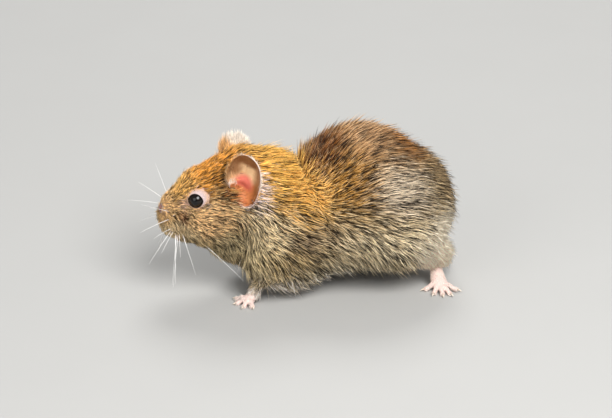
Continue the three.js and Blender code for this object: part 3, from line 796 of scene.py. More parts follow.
def body_part():
    """Head, neck, trunk and upper legs. The coat is kept off eyes, nose and ears, hangs as a
    fringe over the ears' lower ends and is trimmed short before them."""
    verts, faces = surface_of(body_skin_field, *SKIN_BOX, TRUNK_STEP)
    normals = vertex_normals(verts, faces)
    depth = coat_depth(verts)
    x = to_head(verts)[:, 0]
    eye_gap = near_eyes(verts)
    nose_gap = np.linalg.norm((verts - from_head(NOSE_MIDDLE)) / NOSE_RADII, axis=1)
    furred = smoothstep(2.2, 2.5, eye_gap) * smoothstep(1.0, 1.15, nose_gap)
    there = {name: region(name, verts, normals) for name in REGIONS}
    there["fringe"], there["trim"] = np.zeros((2, len(verts)))
    for side in (-1, 1):
        gap = ear_room(verts, side, 0.25)
        furred *= smoothstep(-0.1, 0.35, gap)
        across, _, up = body_to_ear(verts, side).T
        below = smoothstep(-3.2, -5.5, up)
        there["fringe"] += smoothstep(2.4, 0.8, gap) * below * smoothstep(3.5, 0.5, across)
        there["trim"] += smoothstep(2.6, 0.6, gap) * (1 - below) * smoothstep(1, -1, across)
    for leg in LEGS.values():
        furred *= smoothstep(-0.1, 0.3, upper_leg(verts, leg) + 0.1)
    pad = np.max([share * there[name] for name, share in SNOUT_PADS.items()], axis=0)
    longer = 1 + sum(share * there[name] for name, share in LONGER.items())
    higher = BASE_HEIGHT + sum(share * there[name] for name, share in HIGHER.items())
    return SkinPart(
        "body",
        verts,
        faces,
        lie=body_lie(verts, normals),
        length=depth * np.interp(x, *LENGTH_AT) * longer + SNOUT_LONGER * pad,
        width=np.interp(x, *WIDTH_AT),
        lift=24,
        density=np.interp(x, *DENSITY_AT) * furred,
        bare=np.maximum(smoothstep(*BARE_ROUND_EYE, eye_gap), 0.8 * smoothstep(3.2, 1.6, nose_gap)),
        unwrap=unwrap_body,
        height=depth * higher + SNOUT_HIGHER * pad,
    )


FOOT_PATH = 61  # points on the line through a leg and foot
FOOT_DENSITY = 17
SHANK_LONGER = {"fore": 1.3, "hind": 3.2}  # how much longer hair is on the leg than on the toes


def foot_part(number, name, leg):
    """A leg's lower end with its foot: furred like the body on the leg, then with short hair
    that thins out on the toes and leaves the sole bare."""
    line = np.vstack([leg["joints"], leg["sole"][1:], [(*np.mean(leg["toes"], axis=0), TOE_TIP_HEIGHT)]])
    reach = np.vstack([line, [(x, y, TOE_TIP_HEIGHT) for x, y in leg["toes"]]])
    low, high = reach.min(0) - 5, reach.max(0) + 5
    low[2] = -2 * FOOT_STEP
    verts, faces = surface_of(foot_field(leg), low, high, FOOT_STEP)
    verts[:, 2] = np.maximum(verts[:, 2], LEAST_HEIGHT)
    path = smooth_line(line, FOOT_PATH)
    index = nearest_index(verts, path)
    ahead, _, _ = frames_along(path)
    share = index / (FOOT_PATH - 1)
    ankle = (len(leg["joints"]) - 1) / (len(line) - 1)
    on_leg = smoothstep(ankle + 0.16, ankle - 0.1, share)
    normals = vertex_normals(verts, faces)
    sole = smoothstep(-0.25, -0.7, normals[:, 2]) * smoothstep(3.0, 1.5, verts[:, 2])
    hidden = smoothstep(0.2, -0.6, coat_distance(verts) + coat_depth(verts))
    return SkinPart(
        FEET[name],
        verts,
        faces,
        lie=ahead[index] - 0.9 * on_leg[:, None] * UP,
        length=1.05 + SHANK_LONGER[name[:4]] * on_leg,
        width=0.1 + 0.1 * on_leg,
        lift=18 + 6 * on_leg,
        density=FOOT_DENSITY * (1 - sole) * (1 - hidden) * (1 - 0.45 * smoothstep(0.85, 1, share)),
        bare=smoothstep(ankle - 0.02, ankle + 0.14, share),
        unwrap=unwrap_line(path, number, FOOT_ROWS),
    )


def unwrap_ear(number, side):
    """An unwrap of an ear as seen from its side, with the inner and outer face beside each other."""

    def unwrap(points):
        across, into, up = body_to_ear(points, side).T
        outer_face = into > ear_hollow(0.5, up / (EAR_LENGTH / 2))
        place = STRIP_WIDTH * (across / EAR_HALF_WIDTH / 2 + 0.5)
        u = FIRST_STRIP + STRIP * (2 * number + outer_face) + STRIP_EDGE + place
        return np.stack([u, EAR_ROWS[0] + (EAR_ROWS[1] - EAR_ROWS[0]) * (up / EAR_LENGTH + 0.5)], 1)

    return unwrap


# Tufts on the outside of the left ear and of the right: number for each square millimetre, length
# and degrees that they stand up.
EAR_BACKS = {-1: (24.0, 0.7, 22), 1: (20.0, 1.45, 40)}


def ear_part(number, side):
    """An ear: fine down inside, longer low down and at its front edge, and a short coat outside."""
    verts, faces, spots, inner = ear_shell(side)
    across, up, share = spots.T
    middle, above = ear_to_body(np.array([[0, 0, 0], [0, 0, 1.0]]), side)
    towards_rim = ear_to_body(np.stack([across, np.zeros(len(spots)), up + 0.7], 1), side)
    edge = smoothstep(0.86, 1.0, share)
    low = smoothstep(-0.3, -0.75, up)
    front = smoothstep(-0.35, -0.8, across)
    upper_rim = smoothstep(0.7, 0.95, share) * smoothstep(0.1, 0.5, up)
    outer_density, outer_length, outer_lift = EAR_BACKS[side]
    if side < 0:
        outer_density = outer_density * (1 - 0.9 * upper_rim)
    return SkinPart(
        "ear_left" if side < 0 else "ear_right",
        verts,
        faces,
        lie=0.6 * (unit(towards_rim - middle) + above - middle),
        length=0.8 + 0.9 * low + outer_length * (1 - inner) + 0.9 * front,
        width=0.085 + 0.05 * low + 0.04 * (1 - inner),
        lift=20 + 12 * edge + (outer_lift - 20) * (1 - inner),
        density=np.where(inner > 0.5, 3 + 16 * low + 2 * edge + 16 * front, outer_density),
        bare=1.0,
        unwrap=unwrap_ear(number, side),
        ear=np.ones(len(verts)),
        ear_spot=spots,
        ear_inner=inner,
    )


TAIL_POINTS = 240
TAIL_SIDES = 20


def tail_part():
    """The tail: a tapered tube, bare where it is inside the body, with a tuft at its tip."""
    line = smooth_line(TAIL_LINE, TAIL_POINTS)
    verts, faces = tube(line, np.linspace(TAIL_BASE_RADIUS, TAIL_TIP_RADIUS, TAIL_POINTS), TAIL_SIDES)
    verts[:, 2] = np.maximum(verts[:, 2], LEAST_HEIGHT)
    index = nearest_index(verts, line)
    ahead, _, _ = frames_along(line)
    share = index / (TAIL_POINTS - 1)
    inside = smoothstep(0.3, -0.5, coat_distance(verts) + coat_depth(verts))
    return SkinPart(
        "tail",
        verts,
        faces,
        lie=ahead[index],
        length=1.9 - 0.4 * share + 1.2 * smoothstep(0.94, 1.0, share),
        width=0.13,
        lift=12,
        density=(13 - 2 * share) * (1 - inside),
        bare=0.65,
        unwrap=unwrap_line(line, 0, TAIL_ROWS),
    )


def lid_part(name):
    """The lids of an eye: a bare ring, palest above and behind the eye, with a few lashes along
    the margin and short fur where it meets the skin."""
    verts, faces, margin = eyelids(name)
    outward, back, rise = eye_axes(name)
    local = verts - EYES[name]
    height = local @ outward
    away = local - height[:, None] * outward
    near = near_eyes(verts)
    lashes = (height > 0.3) * smoothstep(2.0, 2.15, np.linalg.norm(away, axis=1))
    palest = smoothstep(-0.3, 0.6, unit(away) @ unit(back + rise))
    return SkinPart(
        name + "_lids",
        verts,
        faces,
        lie=body_lie(verts, vertex_normals(verts, faces)),
        length=0.55 + 0.9 * smoothstep(2.2, 3.0, near),
        width=0.11,
        lift=17,
        density=8 * lashes + 24 * smoothstep(2.15, 2.45, near),
        bare=smoothstep(*BARE_ROUND_EYE, near),
        unwrap=unwrap_body,
        lid=smoothstep(2.85, 2.1, near) * (0.12 + 0.88 * palest),
        lid_margin=margin,
    )


@lru_cache(maxsize=None)
def skin_parts():
    """All parts of the skin, made once."""
    parts = [body_part()]
    parts += [foot_part(i, name, leg) for i, (name, leg) in enumerate(LEGS.items())]
    parts += [ear_part(i, side) for i, side in enumerate((-1, 1))]
    parts += [tail_part()]
    parts += [lid_part(name) for name in EYE_SIDES]
    return parts


# ---------------------------------------------------------------- coat

SEED = 11
RING_TURNS = np.radians([90, 210, 330])  # a tuft's section is a triangle
STATIONS = np.array([0, 0.45, 1.0])  # places along a tuft's middle line
WIDTH_ALONG = [0, 0.35, 0.75, 1], [0.7, 1.0, 0.72, 0]  # a tuft's width along it, as a share
TUFT_THICKNESS = 0.55  # of its width
ROOT_SINK = 0.25  # how deep a tuft is set into the skin, of its own length
DEEPEST_SINK = 0.3  # in millimetres
# How much tufts differ among themselves: spread round one, and the least and most.
LENGTH_SPREAD = (0.14, 0.55, 1.35)
LIFT_SPREAD = (0.22, 0.45, 1.6)
HEIGHT_SPREAD = (0.26, 0.45, 1.4)
WIDTH_SPREAD = (0.2, 0.5, 1.5)
DRIFTS = ((0.16, 9), (0.1, 3.5))  # how far the lie turns from place to place, over what distance
LIE_SPREAD = 0.09
BEND_SPREAD = 0.2  # sideways, in radians
TURN_SPREAD = 0.35  # about its own line, in radians
ROOT_LIFT = 1.75  # how steeply a tuft leaves the skin, of its lift
LIFT_LOSS = 1.5  # how much of its lift it loses from root to tip
HEIGHT_POWER = 0.7  # a tuft's height over the skin grows with this power of the share along it
PULL_POWER = 1.6  # and the pull towards its lock's tip with this one
LONGEST_PULL = 0.5  # of a tuft's length
GUARD_SHARE = 0.1
GUARD_RISE = 0.4  # how much higher guard hairs stand than the rest
PLACE_SHARE = 0.55  # how far towards its tip a tuft takes its marking from
PLACE_STRAY = 0.28  # how far a tuft's marking strays from its place, of its length
PATCH = 0.003  # width of a tuft's patch on the unwrap
PATCH_ACROSS = [0.5, 0.15, 0.85]  # where the corners of a tuft's section lie across its patch


EAR_VALUES = ("ear", "ear_spot", "ear_inner")


def varied(rng, count, spread, least, most):
    """Random shares round one, kept between a least and a most."""
    return np.clip(1 + spread * rng.normal(size=count), least, most)


def scatter(part, rng, share):
    """Roots scattered over a skin part: each triangle gets roots by its area times the density,
    at random places in it. Returns the places and every value of the part there."""
    triangles = []
    for polygons in part.faces:
        triangles.append(polygons[:, :3])
        if polygons.shape[1] == 4:
            triangles.append(polygons[:, [0, 2, 3]])
    triangles = np.concatenate(triangles)
    corner = part.verts[triangles]
    area = np.linalg.norm(np.cross(corner[:, 1] - corner[:, 0], corner[:, 2] - corner[:, 0]), axis=1) / 2
    weight = area * part.density[triangles].mean(1) * share
    count = int(round(weight.sum()))
    chosen = np.searchsorted(np.cumsum(weight), rng.random(count) * weight.sum())
    chosen = np.minimum(chosen, len(triangles) - 1)
    u, v = rng.random((2, count))
    over = u + v > 1
    u, v = np.where(over, 1 - u, u), np.where(over, 1 - v, v)
    mix = np.stack([1 - u - v, u, v], 1)
    at = triangles[chosen]
    given = {key: getattr(part, key) for key in ("normals", "lie", "length", "width", "lift", "bare")}
    given |= {key: part.extra[key] for key in (*EAR_VALUES, "height") if key in part.extra}
    hair = {key: np.einsum("nk,nk...->n...", mix, values[at]) for key, values in given.items()}
    hair["root"] = np.einsum("nk,nk...->n...", mix, corner[chosen])
    hair["normal"] = unit(hair.pop("normals"))
    return hair


def waves(points, rng, scale, count=5):
    """A smooth random vector at each point: a sum of sine waves in random directions."""
    total = np.zeros_like(points)
    for _ in range(count):
        direction = unit(rng.normal(size=3)) / scale
        phase = rng.random() * 2 * np.pi
        total += np.sin(points @ direction * 2 * np.pi + phase)[:, None] * unit(rng.normal(size=3))
    return total / math.sqrt(count)


def over_skin(points, heights, step=0.05):
    """Points moved straight out or in until they stand at these heights over the body's skin."""
    here = coat_distance(points)
    slope = np.stack([coat_distance(points + step * e) - here for e in np.eye(3)], -1)
    return points + (heights - here - coat_depth(points))[:, None] * unit(slope / step)


def tuft_paths(hair, rng, lock_share, pull):
    """The middle line of each tuft, root to tip. It leaves the skin steeply and lies down along
    the coat, bends a little sideways, and its tip is pulled towards the tip of its lock. On the
    body it follows the skin's bend: a point at share t of it stands height * t^0.7 over the skin."""
    count = len(hair["root"])
    normal = hair["normal"]
    drift = sum(share * waves(hair["root"], rng, scale) for share, scale in DRIFTS)
    lie = along(unit(hair["lie"]) + drift + LIE_SPREAD * rng.normal(size=(count, 3)), normal)
    side = np.cross(normal, lie)
    length = hair["length"] * varied(rng, count, *LENGTH_SPREAD)
    lift = np.radians(hair["lift"] * varied(rng, count, *LIFT_SPREAD))
    bend = BEND_SPREAD * rng.normal(size=count)
    line = [hair["root"] - normal * np.minimum(DEEPEST_SINK, ROOT_SINK * length)[:, None]]
    for a, b in zip(STATIONS, STATIONS[1:]):
        middle = (a + b) / 2
        rise = lift * (ROOT_LIFT - LIFT_LOSS * middle)
        sway = bend * middle
        ahead = np.cos(rise)[:, None] * (np.cos(sway)[:, None] * lie + np.sin(sway)[:, None] * side)
        line.append(line[-1] + ((b - a) * length)[:, None] * (ahead + np.sin(rise)[:, None] * normal))
    line = np.stack(line, 1)
    leaders = rng.permutation(count)[: max(1, int(count * lock_share))]
    tree = KDTree(len(leaders))
    for number, place in enumerate(hair["root"][leaders].tolist()):
        tree.insert(place, number)
    tree.balance()
    lock = np.array([tree.find(place)[1] for place in hair["root"].tolist()])
    towards = line[leaders[lock], -1] - line[:, -1]
    reach = np.linalg.norm(towards, axis=1, keepdims=True)
    towards *= np.minimum(1, LONGEST_PULL * length[:, None] / (reach + 1e-9))
    line = line + pull * (STATIONS**PULL_POWER)[:, None] * towards[:, None]
    if "height" in hair:
        guard = 1 + GUARD_RISE * (rng.random(count) < GUARD_SHARE)
        height = hair["height"] * guard * varied(rng, count, *HEIGHT_SPREAD)
        for number, share in list(enumerate(STATIONS))[1:]:
            line[:, number] = over_skin(line[:, number], height * share**HEIGHT_POWER)
    line[..., 2] = np.maximum(line[..., 2], LEAST_HEIGHT + 0.5 * hair["width"][:, None])
    return line, side, rng.random(len(leaders))[lock]


def tuft_mesh(hair, unwrap, rng, lock_share, pull):
    """Closed tapered tufts: a small triangle at each station but the last, and a point at the tip."""
    line, side, lock_shade = tuft_paths(hair, rng, lock_share, pull)
    count, rings = len(line), len(STATIONS) - 1
    ahead = unit(line[:, 1:] - line[:, :-1])
    width = hair["width"] * varied(rng, count, *WIDTH_SPREAD)
    roll = TURN_SPREAD * np.sin(rng.random(count) * 2 * np.pi)
    across = unit(side[:, None] - (side[:, None] * ahead).sum(-1, keepdims=True) * ahead)
    rise = np.cross(ahead, across)
    turn = (RING_TURNS + roll[:, None])[:, None, :, None]
    half = (width[:, None] * np.interp(STATIONS[:-1], *WIDTH_ALONG))[..., None, None] / 2
    ring = np.cos(turn) * across[:, :, None] + TUFT_THICKNESS * np.sin(turn) * rise[:, :, None]
    ring = line[:, :-1, None] + half * ring
    verts = np.concatenate([ring.reshape(count, rings * 3, 3), line[:, -1:]], 1)
    per_tuft = rings * 3 + 1
    start = (np.arange(count) * per_tuft)[:, None, None]
    a = np.arange(3)
    b = (a + 1) % 3
    sides = np.concatenate([np.stack([a, b, b + 3, a + 3], 1) + 3 * r for r in range(rings - 1)])
    tip = np.stack([a + 3 * (rings - 1), b + 3 * (rings - 1), np.full(3, per_tuft - 1)], 1)
    quads = (start + sides).reshape(-1, 4)
    triangles = (start + np.vstack([tip, [[2, 1, 0]]])).reshape(-1, 3)
    place = np.append(np.repeat(STATIONS[:-1], 3), 1.0)
    spot = np.stack([np.append(np.tile(PATCH_ACROSS, rings), 0.5), place], -1)
    uv = unwrap(hair["root"])[:, None] + PATCH * spot - PATCH / 2
    stray = PLACE_STRAY * hair["length"][:, None] * rng.normal(size=(count, 3))
    values = {
        "place": (1 - PLACE_SHARE) * hair["root"] + PLACE_SHARE * line[:, -1] + stray,
        "hair_shade": rng.random(count),
        "lock_shade": lock_shade,
        **{key: hair[key] for key in ("bare", *EAR_VALUES) if key in hair},
    }
    attributes = {key: np.repeat(value, per_tuft, 0) for key, value in values.items()}
    attributes["along_hair"] = np.tile(place, count)
    return verts.reshape(-1, 3), [quads, triangles], attributes, np.clip(uv, 0, 1).reshape(-1, 2)


NEAR_EYE = 6.0  # hair roots nearer than this to an eye's axis are kept short
EYE_ROOM = 1.7  # free of hair round an eye's axis
SHORTEST = 0.35


def keep_off_eyes(hair):
    """Hair that lies towards an eye ends before it."""
    near = near_eyes(hair["root"])
    room = np.maximum(SHORTEST, near - EYE_ROOM)
    for name in EYE_SIDES:
        towards = unit(EYES[name] - hair["root"])
        facing = smoothstep(0.0, 0.4, (unit(hair["lie"]) * towards).sum(1)) * (near < NEAR_EYE)
        shorter = np.minimum(hair["length"], room / np.maximum(facing, 0.2))
        hair["length"] = np.where(facing > 0, shorter, hair["length"])


def coat_piece(name, hair, unwrap, rng, slot, lock_share, pull):
    """One piece of the coat as an object."""
    verts, faces, attributes, uv = tuft_mesh(hair, unwrap, rng, lock_share, pull)
    piece = make_object(name, verts, faces, material_named("vole_coat"), attributes, uv)


# ---------------------------------------------------------------- material building


class Tree:
    """Adds nodes to a material or a group in one call each."""

    def __init__(self, tree):
        self.tree = tree

    def node(self, kind, inputs=None, **settings):
        made = self.tree.nodes.new(kind)
        for key, value in settings.items():
            setattr(made, key, value)
        for key, value in (inputs or {}).items():
            self.feed(made.inputs[key], value)
        return made

    def feed(self, socket, value):
        """Link a socket to another, or set its value. A colour may be given by its setting's name."""
        if isinstance(value, bpy.types.NodeSocket):
            self.tree.links.new(value, socket)
        elif socket.type == "RGBA":
            colour = getattr(bpy.context.scene.vole_colours, value) if isinstance(value, str) else value
            socket.default_value = (*colour, 1)
        else:
            socket.default_value = value

    def math(self, operation, a, b=0.0):
        return self.node("ShaderNodeMath", {0: a, 1: b}, operation=operation).outputs[0]

    def plus(self, a, b):
        return self.math("ADD", a, b)

    def minus(self, a, b):
        return self.math("SUBTRACT", a, b)

    def times(self, a, b):
        return self.math("MULTIPLY", a, b)

    def most(self, a, b):
        return self.math("MAXIMUM", a, b)

    def vector_math(self, operation, a, b=(0, 0, 0)):
        made = self.node("ShaderNodeVectorMath", {0: a, 1: b}, operation=operation)
        return made.outputs["Value" if operation in ("LENGTH", "DOT_PRODUCT") else "Vector"]

    def mix(self, share, a, b, kind="MIX"):
        made = self.node("ShaderNodeMix", data_type="RGBA", blend_type=kind)
        for socket, value in zip((made.inputs[0], made.inputs[6], made.inputs[7]), (share, a, b)):
            self.feed(socket, value)
        return made.outputs[2]

    def ramp(self, value, low, high, to_low=0.0, to_high=1.0):
        inputs = {"Value": value, 1: low, 2: high, 3: to_low, 4: to_high}
        return self.node("ShaderNodeMapRange", inputs, interpolation_type="SMOOTHSTEP").outputs[0]

    def noise(self, place, scale, detail=2.0):
        made = self.node("ShaderNodeTexNoise", {"Vector": place, "Scale": scale, "Detail": detail})
        return made.outputs["Fac"], made.outputs["Color"]

    def value(self, name):
        return self.node("ShaderNodeAttribute", attribute_name=name).outputs["Fac"]

    def vector(self, name):
        return self.node("ShaderNodeAttribute", attribute_name=name).outputs["Vector"]

    def bumps(self, place, scale, strength, distance):
        """Normals from the skin's grain: its scale, strength and depth in millimetres."""
        height = self.group("skin_grain", Place=place, Scale=scale)["Height"]
        inputs = {"Height": height, "Strength": strength, "Distance": distance * MM}
        return self.node("ShaderNodeBump", inputs).outputs[0]

    def group(self, name, **inputs):
        made = self.node("ShaderNodeGroup", node_tree=bpy.data.node_groups[name])
        for key, value in inputs.items():
            self.feed(made.inputs[key.replace("_", " ")], value)
        return made.outputs


def new_group(name, inputs, outputs):
    """An empty shader node group with these named sockets, its nodes and its two ends."""
    made = bpy.data.node_groups.new(name, "ShaderNodeTree")
    for names, way in ((inputs, "INPUT"), (outputs, "OUTPUT")):
        for key, kind in names.items():
            made.interface.new_socket(key, in_out=way, socket_type="NodeSocket" + kind)
    tree = Tree(made)
    return tree, tree.node("NodeGroupInput").outputs, tree.node("NodeGroupOutput")


def new_material(name, roughness=0.5, **constants):
    """A material with one Principled shader, whose constants sit on the shader's own sockets."""
    made = bpy.data.materials.new(name)
    made.use_nodes = True
    shader = made.node_tree.nodes["Principled BSDF"]
    shader.inputs["Roughness"].default_value = roughness
    for key, value in constants.items():
        shader.inputs[key.replace("_", " ")].default_value = value
    return Tree(made.node_tree), shader.inputs


def material_named(name):
    """A material by its name, made when it is first asked for."""
    if name not in bpy.data.materials:
        MATERIALS[name]()
    return bpy.data.materials[name]


# ---------------------------------------------------------------- markings

# Name: middle, radii and softness of each patch, mirrored to both sides, its colour and how much
# of its hair is dark. Later patches lie over earlier ones.
FLANK = ((196, 166, 112), 0.46)
MARKINGS = {
    "back": ((14, 0, 40), (32, 14, 9), 0.4, (176, 132, 76), 0.42),
    "hump_side": ((9, 14, 34), (11, 8, 8), 0.6, (172, 124, 56), 0.44),
    # The top of the hump: brown fur made lighter and paler by a painted highlight where light falls from
    # above.
    "hump_top_and_highlight": ((18, 4, 44), (10, 12, 6), 0.6, (196, 154, 110), 0.3),
    "rump_top": ((28, 0, 38.5), (8, 7, 5), 0.6, (176, 118, 60), 0.38),
    "rump": ((36, 0, 26), (7, 11, 12), 0.5, (180, 152, 112), 0.38),
    # The upper hind flank's grey fur, made much paler by a painted sheen of reflected sky light.
    "flank_grey_and_sheen": ((24, 15, 31), (9, 8, 8), 0.6, (242, 222, 194), 0.32),
    "dark_flank": ((1, 16, 21), (14, 7, 5), 0.6, (212, 182, 136), 0.5),
    "lower_flank": ((18, 19, 16), (18, 8, 7), 0.5, (246, 226, 188), 0.42),
    "shoulder_patch": ((-5, 16, 19), (5, 5, 3), 0.6, (176, 150, 116), 0.56),
    "belly": ((4, 0, 7), (34, 17, 7.5), 0.4, (238, 222, 190), 0.36),
    "thigh": ((34.5, 12, 12.0), (9.5, 12, 11), 0.35, (255, 242, 218), 0.0),
    "neck_side": ((-5.5, 12, 31), (8.5, 7, 7.5), 0.6, (252, 194, 100), 0.3),
    # The nape's orange fur, made brighter by a painted highlight where light falls on the top of the neck.
    "nape": ((-10, 0, 37), (9.5, 14, 9.5), 0.4, (255, 200, 100), 0.2),
    # Dark brown fur on the hump's front, darkened further by painted shade on the side turned away from the
    # light.
    "hump_front_and_shade": ((1.6, 0, 43.6), (7.2, 15, 9), 0.3, (124, 72, 18), 0.46),
    "shoulder": ((-16, 12, 22), (9, 8, 7), 0.5, (255, 230, 184), 0.44),
    "crown": ((-26, 0, 36), (11, 9, 7), 0.4, (230, 158, 60), 0.42),
    "forehead": ((-35, 0, 31), (5, 7, 4.5), 0.4, (236, 184, 100), 0.42),
    "cheek": ((-28, 9.5, 24.5), (7, 7, 6), 0.45, (248, 204, 146), 0.42),
    "throat": ((-22, 8, 14), (10, 12, 6.5), 0.5, (226, 204, 158), 0.4),
    "muzzle": ((-39, 1.5, 25.5), (4.5, 6, 4.5), 0.4, (240, 196, 136), 0.24),
    "lips": ((-36.5, 4.8, 20.3), (5.5, 6.5, 3.0), 0.4, (248, 220, 172), 0.24),
    # Painted shade: a dark patch in the crease between the whisker pad and the cheek.
    "face_crease_shade": ((-35.8, 6.0, 24.3), (1.2, 1.8, 2.0), 0.6, (138, 84, 56), 0.4),
    "eye_front": ((-35.2, 5.2, 28.4), (1.5, 1.8, 1.2), 0.5, (232, 196, 180), 0.0),
    "eye_ring": ((-31.3, 5.6, 30.3), (2.1, 3.2, 1.9), 0.3, (226, 208, 206), 0.0),
    "ear_front": ((-24.6, 7.5, 35.2), (2.2, 3.5, 4.6), 0.5, (120, 82, 44), 0.6),
    "ear_below": ((-21.6, 9.6, 30.2), (2.8, 3.5, 1.7), 0.5, (206, 128, 60), 0.45),
    "ear_back": ((-15.6, 10.8, 34.0), (2.3, 5, 6.6), 0.4, (244, 226, 222), 0.26),
    "feet": ((0, 10, 0.5), (60, 30, 4.2), 0.3, (254, 244, 234), 0.04),
}

STIR_SCALE = 0.28  # of the noise that makes the patches' edges ragged
STIR_REACH = 5.0  # millimetres over which it moves them
SMALL_PATCH = 4  # a patch with no radius over this keeps its exact place


def make_patch_group():
    """Patch: 1 inside an ellipsoid and 0 outside, with a soft edge. Reach is the length of
    (place - middle) / radii, and the mask falls from 1 to 0 as reach passes one."""
    inputs = {"Place": "Vector", "Middle": "Vector", "Radii": "Vector", "Softness": "Float"}
    tree, given, out = new_group("marking_patch", inputs, {"Mask": "Float"})
    away = tree.vector_math("SUBTRACT", given["Place"], given["Middle"])
    reach = tree.vector_math("LENGTH", tree.vector_math("DIVIDE", away, given["Radii"]))
    start = tree.plus(1.0, given["Softness"])
    end = tree.minus(1.0, given["Softness"])
    tree.feed(out.inputs["Mask"], tree.ramp(reach, start, end))


def mirrored_place(tree, place):
    """A place brought to one side of the animal's middle, which turns aside in front of the neck."""
    x, y, z = tree.node("ShaderNodeSeparateXYZ", {0: place}).outputs
    ahead = tree.most(tree.minus(float(NECK_PIVOT[0]), x), 0.0)
    aside = tree.times(ahead, math.tan(math.radians(HEAD_TURN)))
    y = tree.math("ABSOLUTE", tree.minus(y, aside))
    return tree.node("ShaderNodeCombineXYZ", {0: x, 1: y, 2: z}).outputs[0]


def make_markings_group():
    """The animal's markings at a place in millimetres: colour of the coat and share of dark hair.
    The place is mirrored to one side and stirred by noise, so that edges are ragged."""
    outputs = {"Colour": "Color", "Dark share": "Float"}
    tree, given, out = new_group("vole_markings", {"Place": "Vector"}, outputs)
    noise = tree.noise(given["Place"], STIR_SCALE, 3.0)[1]
    stirred = tree.vector_math("SUBTRACT", noise, (0.5, 0.5, 0.5))
    stirred = tree.vector_math("MULTIPLY", stirred, (STIR_REACH,) * 3)
    exact = mirrored_place(tree, given["Place"])
    place = mirrored_place(tree, tree.vector_math("ADD", given["Place"], stirred))
    colour, dark = "flank", FLANK[1]
    for name, (middle, radii, softness, _, dark_share) in MARKINGS.items():
        at = exact if max(radii) < SMALL_PATCH else place
        patch = tree.group("marking_patch", Place=at, Middle=middle, Radii=radii, Softness=softness)
        mask = patch["Mask"]
        colour = tree.mix(mask, colour, name)
        dark = tree.plus(tree.times(mask, tree.minus(dark_share, dark)), dark)
    tree.feed(out.inputs["Colour"], colour)
    tree.feed(out.inputs["Dark share"], dark)


def make_grain_group():
    """Skin grain: fine cells and soft wrinkles as one height."""
    tree, given, out = new_group("skin_grain", {"Place": "Vector", "Scale": "Float"}, {"Height": "Float"})
    cells = tree.node("ShaderNodeTexVoronoi", {"Vector": given["Place"], "Scale": given["Scale"]})
    wrinkle = tree.noise(given["Place"], tree.times(given["Scale"], 0.3), 3.0)[0]
    height = tree.plus(tree.times(cells.outputs["Distance"], 0.6), wrinkle)
    tree.feed(out.inputs["Height"], height)


def make_ear_group():
    """Colours of an ear by its spot: X across it to the rump, Y up and Z the share of its rim.
    Inside it is orange-brown low down, tan above with brown at both sides and the top, red over
    the shelf and pale along the rim. Outside it is tan in front and low down and white above."""
    tree, given, out = new_group("ear_colours", {"Spot": "Vector", "Inner": "Float"}, {"Colour": "Color"})
    across, up, share = tree.node("ShaderNodeSeparateXYZ", {0: given["Spot"]}).outputs
    cloud = tree.minus(tree.noise(given["Spot"], 2.2, 3.0)[0], 0.5)
    up = tree.plus(up, tree.times(cloud, 0.5))
    across = tree.plus(across, tree.times(cloud, 0.4))
    # Painted shade in the hollow: brown under the rim at the top and along the walls at both sides.
    inner = tree.mix(tree.ramp(up, -0.3, 0.0), "ear_low", "ear_tan")
    inner = tree.mix(tree.ramp(up, 0.35, 0.65), inner, "ear_brown_and_shade")
    behind = tree.times(tree.ramp(across, 0.25, 0.7), 0.8)
    inner = tree.mix(behind, inner, "ear_brown_and_shade")
    front = tree.times(tree.ramp(across, -0.15, -0.6), tree.ramp(up, -0.15, 0.15))
    inner = tree.mix(tree.times(front, 0.85), inner, "ear_brown_and_shade")
    patch = {"Middle": (-0.12, -0.2, 0.0), "Radii": (0.55, 0.3, 5.0), "Softness": 0.4}
    red = tree.group("marking_patch", Place=given["Spot"], **patch)["Mask"]
    inner = tree.mix(red, inner, "ear_red")
    fluff = tree.times(tree.ramp(across, -0.5, -0.7), tree.ramp(up, -0.12, -0.22))
    fluff = tree.times(fluff, tree.ramp(up, -0.45, -0.35))
    inner = tree.mix(fluff, inner, "ear_white")
    rim = tree.times(tree.ramp(share, 0.96, 0.985), tree.ramp(across, -0.1, 0.35))
    inner = tree.mix(rim, inner, "bare_skin_pale")
    low = tree.ramp(tree.plus(up, tree.times(across, 0.5)), 0.35, 0.05)
    outer = tree.mix(low, "ear_white", "ear_outside")
    tree.feed(out.inputs["Colour"], tree.mix(given["Inner"], outer, inner))


def place_in_body(tree):
    """Object coordinates as millimetres in the animal's own frame."""
    where = tree.node("ShaderNodeTexCoord").outputs["Object"]
    scaled = tree.vector_math("MULTIPLY", where, (1 / MM,) * 3)
    return tree.vector_math("SUBTRACT", scaled, tuple(float(x) for x in OFFSET))


# ---------------------------------------------------------------- materials


# A tuft's brightness: its least, and what its own shade and its lock's shade add.
LEAST_TONE = 0.42
TONE_BY_TUFT = 0.85
TONE_BY_LOCK = 0.4
DARK_BY_LOCK = 1.5  # how much more of a dark lock's hair is dark
BRIGHT_TIP = (1.4, 1.4, 1.4)
# Linear colours too dark to be worth a setting.
PUPIL = (0.0012, 0.001, 0.001)
# Painted shade in the nostrils' openings.
NOSTRIL_SHADE = (0.02, 0.01, 0.01)
FLOOR_MOTTLE = 0.97  # the floor's darkest spots, of its colour


